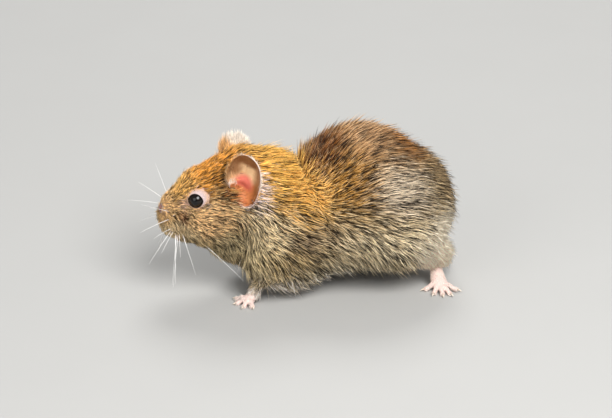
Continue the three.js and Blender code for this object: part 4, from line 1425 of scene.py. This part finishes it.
def make_coat_material():
    """Fur: dark slate at the root, the marking's colour in the middle and a paler or darker tip,
    by tuft, with whole locks a little lighter or darker. Pale markings have a paler root."""
    tree, shader = new_material("vole_coat", roughness=0.62, Specular_IOR_Level=0.2)
    markings = tree.group("vole_markings", Place=tree.vector("place"))
    inner = tree.value("ear_inner")
    ear = tree.group("ear_colours", Spot=tree.vector("ear_spot"), Inner=inner)["Colour"]
    on_ear = tree.value("ear")
    marked = tree.mix(on_ear, markings["Colour"], ear)
    hair = tree.value("along_hair")
    shade = tree.value("hair_shade")
    lock = tree.value("lock_shade")
    dark_share = tree.times(markings["Dark share"], tree.minus(1.0, on_ear))
    lock_share = tree.times(tree.minus(0.5, lock), tree.times(dark_share, DARK_BY_LOCK))
    is_dark = tree.ramp(tree.minus(tree.plus(dark_share, lock_share), shade), -0.03, 0.03)
    tone = tree.plus(LEAST_TONE, tree.times(shade, TONE_BY_TUFT))
    tone = tree.plus(tone, tree.times(lock, TONE_BY_LOCK))
    tone = tree.node("ShaderNodeCombineXYZ", {0: tone, 1: tone, 2: tone}).outputs[0]
    band = tree.mix(1.0, marked, tone, "MULTIPLY")
    paleness = tree.most(on_ear, tree.times(tree.value("bare"), 0.8))
    paleness = tree.most(paleness, tree.ramp(markings["Dark share"], 0.3, 0.05, 0.2, 0.85))
    ground = tree.mix(paleness, "undercoat", marked)
    colour = tree.mix(tree.ramp(hair, 0.25, 0.65), ground, band)
    bright = tree.mix(1.0, band, BRIGHT_TIP, "MULTIPLY")
    pale = tree.mix(0.32, bright, "pale_tip")
    tip = tree.times(tree.ramp(hair, 0.6, 0.95), tree.ramp(shade, 0.6, 0.85))
    colour = tree.mix(tip, colour, pale)
    dark_tip = tree.times(tree.ramp(hair, 0.25, 0.6), is_dark)
    colour = tree.mix(tree.times(dark_tip, 0.94), colour, "dark_hair")
    tree.feed(shader["Base Color"], colour)


def make_skin_material():
    """Skin: under fur the dark ground colour of the coat, bare and pink on feet, pale on the lids
    with a dark margin, and the ears in their own colours."""
    tree, shader = new_material("vole_skin", roughness=0.55, Specular_IOR_Level=0.35)
    place = place_in_body(tree)
    markings = tree.group("vole_markings", Place=place)
    furred = tree.mix(0.3, "undercoat", markings["Colour"])
    mottle = tree.noise(place, 0.9, 4.0)[0]
    bare = tree.mix(mottle, "bare_skin", "bare_skin_pale")
    colour = tree.mix(tree.value("bare"), furred, bare)
    on_lid = tree.value("lid")
    lid = tree.mix(on_lid, "lid_front", "lid_skin")
    colour = tree.mix(tree.ramp(on_lid, 0.02, 0.12), colour, lid)
    colour = tree.mix(tree.value("lid_margin"), colour, "lid_margin")
    inner = tree.value("ear_inner")
    ear = tree.group("ear_colours", Spot=tree.vector("ear_spot"), Inner=inner)["Colour"]
    colour = tree.mix(tree.value("ear"), colour, ear)
    tree.feed(shader["Base Color"], colour)
    tree.feed(shader["Normal"], tree.bumps(place, 3.2, 0.35, 0.12))
    tree.feed(shader["Roughness"], tree.ramp(mottle, 0.3, 0.7, 0.46, 0.62))


def make_eye_material():
    """A glossy eye, brown-black, a little lighter in the iris round a black pupil."""
    tree, shader = new_material("vole_eye", roughness=0.06, Specular_IOR_Level=0.4)
    reach = tree.value("iris_reach")
    streaks = tree.noise(tree.vector("iris_streak"), 6.0, 3.0)[0]
    iris = tree.mix(tree.ramp(streaks, 0.35, 0.7), "eye_dark", "eye_brown")
    colour = tree.mix(tree.ramp(reach, 0.3, 0.45), PUPIL, iris)
    colour = tree.mix(tree.ramp(reach, 0.75, 0.95), colour, "eye_dark")
    tree.feed(shader["Base Color"], colour)


def make_nose_material():
    """Moist bare skin, pink-brown, with fine pores and darker nostrils."""
    tree, shader = new_material("vole_nose", roughness=0.35, Specular_IOR_Level=0.5)
    place = place_in_body(tree)
    mottle = tree.noise(place, 2.5, 3.0)[0]
    colour = tree.mix(mottle, "nose_dark", "nose_pink")
    colour = tree.mix(tree.value("nostril"), colour, NOSTRIL_SHADE)
    tree.feed(shader["Base Color"], colour)
    tree.feed(shader["Normal"], tree.bumps(place, 7.0, 0.5, 0.06))


def make_claw_material():
    """Translucent horn: pale at the tip, darker and pinker at the root, with fine lengthwise grain."""
    tree, shader = new_material("vole_claw", roughness=0.32, Specular_IOR_Level=0.5)
    place = tree.value("claw_along")
    grain = tree.noise(place_in_body(tree), 9.0, 3.0)[0]
    colour = tree.mix(tree.ramp(place, 0.0, 0.8), "claw_root", "claw_tip")
    colour = tree.mix(tree.times(grain, 0.25), colour, "claw_root")
    tree.feed(shader["Base Color"], colour)
    tree.feed(shader["Roughness"], tree.ramp(grain, 0.3, 0.7, 0.26, 0.42))


def make_whisker_material():
    """Stiff white hair, slightly grey at the root."""
    tree, shader = new_material("vole_whisker", roughness=0.35, Specular_IOR_Level=0.5)
    share = tree.ramp(tree.value("whisker_along"), 0.0, 0.2)
    tree.feed(shader["Base Color"], tree.mix(share, "bare_skin", "whisker"))


def make_floor_material():
    """Plain pale matte floor with a very faint mottle."""
    tree, shader = new_material("stage_floor", roughness=0.85, Specular_IOR_Level=0.15)
    stage = bpy.context.scene.vole_stage
    place = tree.node("ShaderNodeTexCoord").outputs["Object"]
    mottle = tree.noise(place, 40.0, 4.0)[0]
    colour = tuple(stage.floor_colour)
    tree.feed(shader["Base Color"], tree.mix(mottle, tuple(FLOOR_MOTTLE * c for c in colour), colour))


MATERIALS = {
    "vole_coat": make_coat_material,
    "vole_skin": make_skin_material,
    "vole_eye": make_eye_material,
    "vole_nose": make_nose_material,
    "vole_claw": make_claw_material,
    "vole_whisker": make_whisker_material,
    "stage_floor": make_floor_material,
}
GROUPS = (make_patch_group, make_markings_group, make_ear_group, make_grain_group)

# ---------------------------------------------------------------- settings

PART_COLOURS = {
    "flank": FLANK[0],
    "undercoat": (50, 40, 33),
    "dark_hair": (22, 14, 9),
    "pale_tip": (252, 240, 208),
    "bare_skin": (220, 184, 172),
    "bare_skin_pale": (236, 216, 208),
    "ear_low": (204, 126, 74),
    "ear_red": (216, 112, 92),
    "ear_tan": (250, 208, 158),
    # Brown of the ear's inside, used as painted shade at the top and the sides of its hollow.
    "ear_brown_and_shade": (140, 88, 44),
    "ear_white": (236, 222, 206),
    "ear_outside": (222, 172, 112),
    "lid_front": (222, 182, 150),
    "lid_skin": (198, 176, 174),
    "lid_margin": (30, 22, 22),
    "eye_dark": (10, 8, 7),
    "eye_brown": (34, 22, 15),
    "nose_dark": (128, 92, 80),
    "nose_pink": (176, 130, 114),
    "claw_root": (190, 150, 130),
    "claw_tip": (232, 222, 204),
    "whisker": (250, 248, 244),
}


def colour_property(name, colour):
    """The setting for one colour, whose default is given as it looks on a screen."""
    title = name.replace("_", " ").capitalize()
    return FloatVectorProperty(
        name=title,
        description=f"Colour: {title.lower()}",
        subtype="COLOR",
        size=3,
        min=0.0,
        max=1.0,
        default=linear(*colour),
    )


class VoleColours(bpy.types.PropertyGroup):
    """Colours of the markings and of every bare part."""

    __annotations__ = {
        name: colour_property(name, colour)
        for name, colour in {**PART_COLOURS, **{key: value[3] for key, value in MARKINGS.items()}}.items()
    }


class VoleSizes(bpy.types.PropertyGroup):
    """Sizes of the small parts and the fineness of the coat."""

    coat_density: FloatProperty(
        name="Coat density",
        description="Share of the full number of tufts",
        default=1.0,
        min=0.05,
        max=1.2,
    )
    lock_pull: FloatProperty(
        name="Lock pull",
        description="How far tips are drawn together into locks",
        default=0.5,
        min=0.0,
        max=1.0,
    )
    claw_length: FloatProperty(
        name="Claw length",
        description="Length of a claw of the hind foot",
        default=1.7 * MM,
        unit="LENGTH",
    )
    whisker_radius: FloatProperty(
        name="Whisker radius",
        description="Radius of a whisker at its root",
        default=0.085 * MM,
        unit="LENGTH",
    )


class VoleStage(bpy.types.PropertyGroup):
    """The floor, the lights and the camera."""

    floor_colour: FloatVectorProperty(
        name="Floor",
        description="Colour of the floor",
        subtype="COLOR",
        size=3,
        default=linear(180, 179, 176),
    )
    light_power: FloatProperty(
        name="Light power",
        description="Power of the main light in watts",
        default=7.2,
    )
    camera_distance: FloatProperty(
        name="Camera distance",
        description="From the camera to what it looks at",
        default=1.2,
        unit="LENGTH",
    )


# ---------------------------------------------------------------- making the pieces

FLESH_NODES = [
    "head",
    "neck",
    "trunk",
    "ear_left",
    "ear_right",
    "tail_base",
    "tail_end",
    *LEGS,
    *FEET.values(),
]


def build_skin():
    """The skin: all its parts as one object, in place of the flesh."""
    parts = skin_parts()
    verts, faces = joined([(part.verts, part.faces) for part in parts])
    attributes = {"bare": np.concatenate([part.bare for part in parts])}
    for key, shape in {"ear": (), "ear_inner": (), "lid": (), "lid_margin": (), "ear_spot": (3,)}.items():
        values = [part.extra.get(key, np.zeros((len(part.verts), *shape))) for part in parts]
        attributes[key] = np.concatenate(values)
    skin = make_object("skin", verts, faces, material_named("vole_skin"), attributes)
    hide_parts(*FLESH_NODES)


# Where each piece of the coat ends, from the nose back, along X in the head's frame.
COAT_CUTS = {"face": -29, "head": -18, "neck": -7, "shoulder": 4, "waist": 14, "loin": 23, "rump": 99}
COAT_SLOTS = {"ear": "ear_skin", "tail": "tail_skin", "eye": "fur_russet"}
LOCK_SHARES = {"face": 0.1, "head": 0.14, "neck": 0.2}  # locks for each tuft
LOCK_SHARE = 0.24  # and on the rest of the body
LIMB_PULL = 0.15  # how far tips are drawn together off the body


def build_coat():
    """The coat: the body's tufts in pieces from nose to rump, and a piece for each foot, ear, lid
    and the tail."""
    sizes = bpy.context.scene.vole_sizes
    rng = np.random.default_rng(SEED)
    body, *others = [part for part in skin_parts() if part.density.any()]
    hair = scatter(body, rng, sizes.coat_density)
    keep_off_eyes(hair)
    x, y, _ = to_head(hair["root"]).T
    start = -99.0
    for name, end in COAT_CUTS.items():
        for side, chosen in (("left", y < 0), ("right", y >= 0)):
            here = {key: values[(x >= start) & (x < end) & chosen] for key, values in hair.items()}
            slot = "fur_russet" if end < 0 else "fur_back"
            share = LOCK_SHARES.get(name, LOCK_SHARE)
            coat_piece(f"coat_{name}_{side}", here, unwrap_body, rng, slot, share, sizes.lock_pull)
        start = end
    for part in others:
        here = scatter(part, rng, sizes.coat_density)
        if part.name.startswith("eye"):
            keep_off_eyes(here)
        slot = COAT_SLOTS.get(part.name.split("_")[0], "fur_limbs")
        coat_piece(f"coat_{part.name}", here, part.unwrap, rng, slot, LOCK_SHARE, LIMB_PULL)


EYE_RINGS = 34
EYE_SEGMENTS = 48
EYE_BULGE = 0.025  # how much further the eye's front stands out, of its radius
BULGE_WIDTH = 0.6  # in radians from the front pole
STREAK_TWIST = 0.15


def build_eyes():
    """Each eyeball: a sphere whose front bulges a little over the iris. A point is the middle +
    radius (sin t cos a back + sin t sin a up + cos t outward), with t from the front pole."""
    for name in EYE_SIDES:
        outward, back, rise = eye_axes(name)
        turn = np.linspace(0, 2 * np.pi, EYE_SEGMENTS, endpoint=False)
        if np.cross(back, rise) @ outward < 0:
            turn = -turn
        tilt, turn = np.meshgrid(np.linspace(0, np.pi, EYE_RINGS)[1:-1], -turn, indexing="ij")
        radius = EYE_RADIUS * (1 + EYE_BULGE * bump(tilt, 0, BULGE_WIDTH))[..., None]
        flat = np.cos(turn)[..., None] * back + np.sin(turn)[..., None] * rise
        rings = EYES[name] + radius * (np.sin(tilt)[..., None] * flat + np.cos(tilt)[..., None] * outward)
        front = EYES[name] + outward * EYE_RADIUS * (1 + EYE_BULGE)
        verts, faces = closed_rings(front, rings, EYES[name] - outward * EYE_RADIUS)
        local = (verts - EYES[name]) / EYE_RADIUS
        across = local - (local @ outward)[:, None] * outward
        reach = np.linalg.norm(across, axis=1)
        streak = unit(across + 1e-6) + reach[:, None] * STREAK_TWIST
        attributes = {"iris_reach": reach, "iris_streak": streak}
        piece_name = name.replace("eye", "eyeball")
        ball = make_object(piece_name, verts, faces, material_named("vole_eye"), attributes)
        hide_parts(name)


NOSE_RINGS = 42
NOSE_SEGMENTS = 56
# Dents of the nose pad, in shares of its radii.
NOSTRIL_DEPTH = 0.34
NOSTRIL_MIDDLE = (0.62, -0.02)  # out and up
NOSTRIL_RADII = (0.2, 0.3)
GROOVE_DEPTH = 0.16
GROOVE_WIDTH = 0.1


def nostril(points):
    """1 in the middle of each nostril, falling off round it, for points of the unit ball."""
    out = bump(np.abs(points[..., 1]), NOSTRIL_MIDDLE[0], NOSTRIL_RADII[0])
    return out * bump(points[..., 2], NOSTRIL_MIDDLE[1], NOSTRIL_RADII[1])


def nose_surface(points):
    """Points of the unit ball, brought to the nose pad with its groove and nostrils. Each dent
    moves the surface in by depth times e^-(distance / width)^2, on the pad's front."""
    groove = bump(points[..., 1], 0, GROOVE_WIDTH) * smoothstep(0.5, -0.3, points[..., 2])
    front = smoothstep(0.3, -0.2, points[..., 0])
    depth = front * (NOSTRIL_DEPTH * nostril(points) + GROOVE_DEPTH * groove)
    return from_head(NOSE_MIDDLE + points * NOSE_RADII * (1 - depth[..., None]))


def build_nose():
    """The bare pad: an ellipsoid with a groove down its middle and a nostril in each side."""
    tilt = np.linspace(0, np.pi, NOSE_RINGS)[1:-1]
    turn = np.linspace(0, -2 * np.pi, NOSE_SEGMENTS, endpoint=False)
    tilt, turn = np.meshgrid(tilt, turn, indexing="ij")
    ball = np.stack([-np.cos(tilt), np.sin(tilt) * np.cos(turn), np.sin(tilt) * np.sin(turn)], -1)
    front, back = np.array([[-1.0, 0, 0], [1.0, 0, 0]])
    verts, faces = closed_rings(*(nose_surface(points) for points in (front, ball, back)))
    flat = np.vstack([front, ball.reshape(-1, 3), back])
    # Where the nostrils open, for their painted shade.
    dark = smoothstep(0.35, 0.8, nostril(flat)) * (flat[:, 0] < 0.3)
    nose = make_object("nose_leather", verts, faces, material_named("vole_nose"), {"nostril": dark})
    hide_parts("nose_pad")


FORE_CLAW_SHARE = 0.82  # of a hind claw's length
CLAW_POINTS = 11
CLAW_SIDES = 10
CLAW_RADIUS = 0.291  # more than at its tip
CLAW_TIP_RADIUS = 0.03
CLAW_CURVE = 0.25  # how far a claw's tip bends down, of its length
CLAW_ARCH = 0.12
CLAW_AHEAD = 0.15  # where a claw starts from the end of the toe's middle line
CLAW_UP = 0.16
CLAW_LEAST_HEIGHT = 0.06
CLAW_CLEARANCE = 0.02  # between a claw's underside and the floor


def tube_shares(points, sides, count):
    """How far along it each point of a closed tube is, from 0 to 1, for this many equal tubes."""
    return np.tile(np.concatenate([[0], np.repeat(np.linspace(0, 1, points), sides), [1]]), count)


def build_claws():
    """Claws: each a tapered tube along a bent line, from inside the toe's pad out and down. At
    share t it is ahead by size * t and up by arch * sin(0.7 pi t) - curve * size * t^2."""
    length = bpy.context.scene.vole_sizes.claw_length / MM
    t = np.linspace(0, 1, CLAW_POINTS)
    for leg_name, leg in LEGS.items():
        size = length * (FORE_CLAW_SHARE if leg_name.startswith("fore") else 1.0)
        claws = []
        for line in toe_lines(leg):
            ahead = unit((line[-1] - line[0]) * [1, 1, 0])
            start = line[-1] + UP * CLAW_UP + ahead * CLAW_AHEAD
            rise = CLAW_ARCH * np.sin(0.7 * np.pi * t) - CLAW_CURVE * size * t**2
            middle = start + np.outer(size * t, ahead) + np.outer(rise, UP)
            middle[:, 2] = np.maximum(middle[:, 2], CLAW_LEAST_HEIGHT)
            radii = CLAW_RADIUS * (1 - t**1.5) ** 0.7 + CLAW_TIP_RADIUS
            claws.append(tube(middle, np.minimum(radii, middle[:, 2] - CLAW_CLEARANCE), CLAW_SIDES))
        verts, faces = joined(claws)
        attributes = {"claw_along": tube_shares(CLAW_POINTS, CLAW_SIDES, len(claws))}
        piece_name = f"claws_{FEET[leg_name]}"
        piece = make_object(piece_name, verts, faces, material_named("vole_claw"), attributes)


# Each whisker of the left side: where it leaves the whisker pad, forward and up in the head's
# frame, and where its tip is from there: forward, out and up.
WHISKERS = [
    ((-38.8, 25.5), (6.1, 5.0, 4.1)),
    ((-38.8, 24.0), (9.0, 6.0, -0.6)),
    ((-38.4, 21.5), (6.0, 6.0, 0.0)),
    ((-38.4, 21.2), (7.5, 8.0, -6.1)),
    ((-37.9, 21.0), (4.5, 7.0, -3.5)),
    ((-37.6, 20.6), (1.4, 9.0, -11.5)),
    ((-37.2, 20.4), (2.5, 8.0, -12.2)),
    ((-36.8, 20.2), (2.9, 10.0, -11.8)),
    ((-36.6, 20.2), (0.5, 6.0, -4.9)),
    ((-36.0, 20.0), (-2.7, 8.0, -9.4)),
    ((-35.8, 19.8), (-1.0, 6.0, -3.8)),
    ((-34.5, 20.5), (-14.0, 9.0, -12.0)),
    ((-37.8, 24.8), (2.0, 13.0, 6.0)),
]
WHISKER_BOW = 0.08
WHISKER_POINTS = 15
WHISKER_SIDES = 6
WHISKER_TAPER = 0.8  # how much thinner the tip is than the root
WHISKER_ROOT = 0.2  # how deep a whisker is set into the skin
WHISKER_SPREAD = 0.08  # how far the right side's whiskers stray from the left side's
WHISKER_LEAST_HEIGHT = 0.3
SKIN_STEPS = 40  # steps from the head's middle out to the skin, and how much of the gap each takes
SKIN_STEP = 0.8


def on_head_side(x, z, side, below):
    """The place on a side of the head, this far under the skin."""
    middle = from_head(np.array([x, 0.0, z]))
    way = from_head(np.array([x, float(side), z])) - middle
    reach = 0.0
    for _ in range(SKIN_STEPS):
        point = (middle + way * reach)[None]
        reach -= SKIN_STEP * float(coat_distance(point)[0] + coat_depth(point)[0])
    return middle + way * (reach - below)


def build_whiskers():
    """Whiskers: tapered tubes. At share t a whisker's line is root + tip * t and, as it bows
    upward, bow * length * (t - t^2) higher."""
    radius = bpy.context.scene.vole_sizes.whisker_radius / MM
    rng = np.random.default_rng(SEED + 1)
    t = np.linspace(0, 1, WHISKER_POINTS)[:, None]
    for side, name in ((-1, "left"), (1, "right")):
        made = []
        for (x, z), (forward, out, up) in WHISKERS:
            root = on_head_side(x, z, side, WHISKER_ROOT)
            stray = 1 + WHISKER_SPREAD * rng.normal(size=3) * (side > 0)
            tip = from_head(to_head(root) + np.array([-forward, side * out, up]) * stray) - root
            line = root + tip * t + UP * WHISKER_BOW * np.linalg.norm(tip) * (t - t**2)
            line[:, 2] = np.maximum(line[:, 2], WHISKER_LEAST_HEIGHT)
            made.append(tube(line, radius * (1 - WHISKER_TAPER * t[:, 0]), WHISKER_SIDES))
        verts, faces = joined(made)
        attributes = {"whisker_along": tube_shares(WHISKER_POINTS, WHISKER_SIDES, len(made))}
        piece = make_object(f"whiskers_{name}", verts, faces, material_named("vole_whisker"), attributes)


# ---------------------------------------------------------------- stage

CAMERA_AZIMUTH = -12.0  # degrees towards the nose from square on to the left side
CAMERA_ELEVATION = 25.0
VIEW_WIDTH = 0.16524  # metres across the picture at what the camera looks at
LOOKS_AT = Vector((-0.0015, -0.00711, 0.02398))
SENSOR_WIDTH = 36.0
FAR_CLIP = 20.0
FLOOR_HALF = 3.0
SKY_COLOUR = (235, 238, 242)
SKY_STRENGTH = 0.3
# Name: azimuth and elevation from the camera's side, distance, size and share of the main power.
LIGHTS = {
    "key": (15, 47, 0.75, 0.5, 1.0),
    "fill": (-50, 24, 0.9, 0.7, 0.34),
    "back": (165, 50, 0.8, 0.4, 0.5),
}


def direction_from(azimuth, elevation):
    """From the model towards a place at an azimuth, 0 on the left side and growing to the rump."""
    a, e = math.radians(azimuth), math.radians(elevation)
    return Vector((math.sin(a) * math.cos(e), -math.cos(a) * math.cos(e), math.sin(e)))


def look_along(made, place, target):
    """Places an object so that it looks at a target, and adds it to the scene."""
    made.location = place
    made.rotation_euler = (target - place).to_track_quat("-Z", "Y").to_euler()
    bpy.context.scene.collection.objects.link(made)


def build_stage():
    """The camera, the floor, three soft lights and an even pale light from all sides."""
    scene = bpy.context.scene
    settings = scene.vole_stage
    camera = bpy.data.cameras.new("camera")
    camera.sensor_width = SENSOR_WIDTH
    camera.lens = SENSOR_WIDTH * settings.camera_distance / VIEW_WIDTH
    camera.clip_end = FAR_CLIP
    held = bpy.data.objects.new("camera", camera)
    place = LOOKS_AT + settings.camera_distance * direction_from(CAMERA_AZIMUTH, CAMERA_ELEVATION)
    look_along(held, place, LOOKS_AT)
    scene.camera = held

    corners = [(x * FLOOR_HALF, y * FLOOR_HALF, 0) for x, y in ((-1, -1), (1, -1), (1, 1), (-1, 1))]
    mesh = bpy.data.meshes.new("floor")
    mesh.from_pydata(corners, [], [(0, 1, 2, 3)])
    mesh.materials.append(material_named("stage_floor"))
    floor = bpy.data.objects.new("floor", mesh)
    scene.collection.objects.link(floor)

    for name, (azimuth, elevation, distance, size, share) in LIGHTS.items():
        light = bpy.data.lights.new(name, "AREA")
        light.shape = "DISK"
        light.size = size
        light.energy = settings.light_power * share
        place = LOOKS_AT + distance * direction_from(azimuth, elevation)
        look_along(bpy.data.objects.new(name, light), place, LOOKS_AT)
    world = bpy.data.worlds.new("studio")
    world.use_nodes = True
    background = world.node_tree.nodes["Background"]
    background.inputs["Color"].default_value = (*linear(*SKY_COLOUR), 1)
    background.inputs["Strength"].default_value = SKY_STRENGTH
    scene.world = world
    scene.view_settings.view_transform = "Standard"


# ---------------------------------------------------------------- operators and panel

PIECES = {
    "stage": ("Make stage", "Make the floor, the lights and the camera", build_stage),
    "skin": ("Make skin", "Make the one skin of body, legs, ears, lids and tail", build_skin),
    "coat": ("Make coat", "Make the tufts of the coat in pieces", build_coat),
    "eyes": ("Make eyes", "Make both eyeballs", build_eyes),
    "nose": ("Make nose", "Make the bare nose pad", build_nose),
    "claws": ("Make claws", "Make the claws of all four feet", build_claws),
    "whiskers": ("Make whiskers", "Make the whiskers of both sides", build_whiskers),
}


def operator_class(key, title, text, build):
    """An operator that makes one piece or a group of like pieces."""

    class MakePieces(bpy.types.Operator):
        __doc__ = text
        bl_idname = "vole." + key
        bl_label = title

        def execute(self, context):
            build()
            return {"FINISHED"}

    return MakePieces


OPERATORS = [operator_class(key, *value) for key, value in PIECES.items()]


class VOLE_PT_pieces(bpy.types.Panel):
    """Lists the settings and the operators that make each piece."""

    bl_label = "Bank Vole"
    bl_idname = "VOLE_PT_pieces"
    bl_space_type = "VIEW_3D"
    bl_region_type = "UI"
    bl_category = "Vole"

    def draw(self, context):
        for settings in (context.scene.vole_sizes, context.scene.vole_stage, context.scene.vole_colours):
            box = self.layout.box()
            for name in settings.__annotations__:
                box.prop(settings, name)
        for operator in OPERATORS:
            self.layout.operator(operator.bl_idname)


SETTINGS = {"vole_colours": VoleColours, "vole_sizes": VoleSizes, "vole_stage": VoleStage}


def register():
    """Registers the settings, the operators and the panel."""
    for made in (*SETTINGS.values(), *OPERATORS, VOLE_PT_pieces):
        bpy.utils.register_class(made)
    for name, made in SETTINGS.items():
        setattr(bpy.types.Scene, name, PointerProperty(type=made))


def unregister():
    """Takes the settings, the operators and the panel off again."""
    for name in SETTINGS:
        delattr(bpy.types.Scene, name)
    for made in (*SETTINGS.values(), *OPERATORS, VOLE_PT_pieces):
        bpy.utils.unregister_class(made)


def main():
    """Registers everything, makes the pieces in order and writes the sizes."""
    register()
    for make_group in GROUPS:
        make_group()
    for key in PIECES:
        getattr(bpy.ops.vole, key)()


if __name__ == "__main__":
    main()
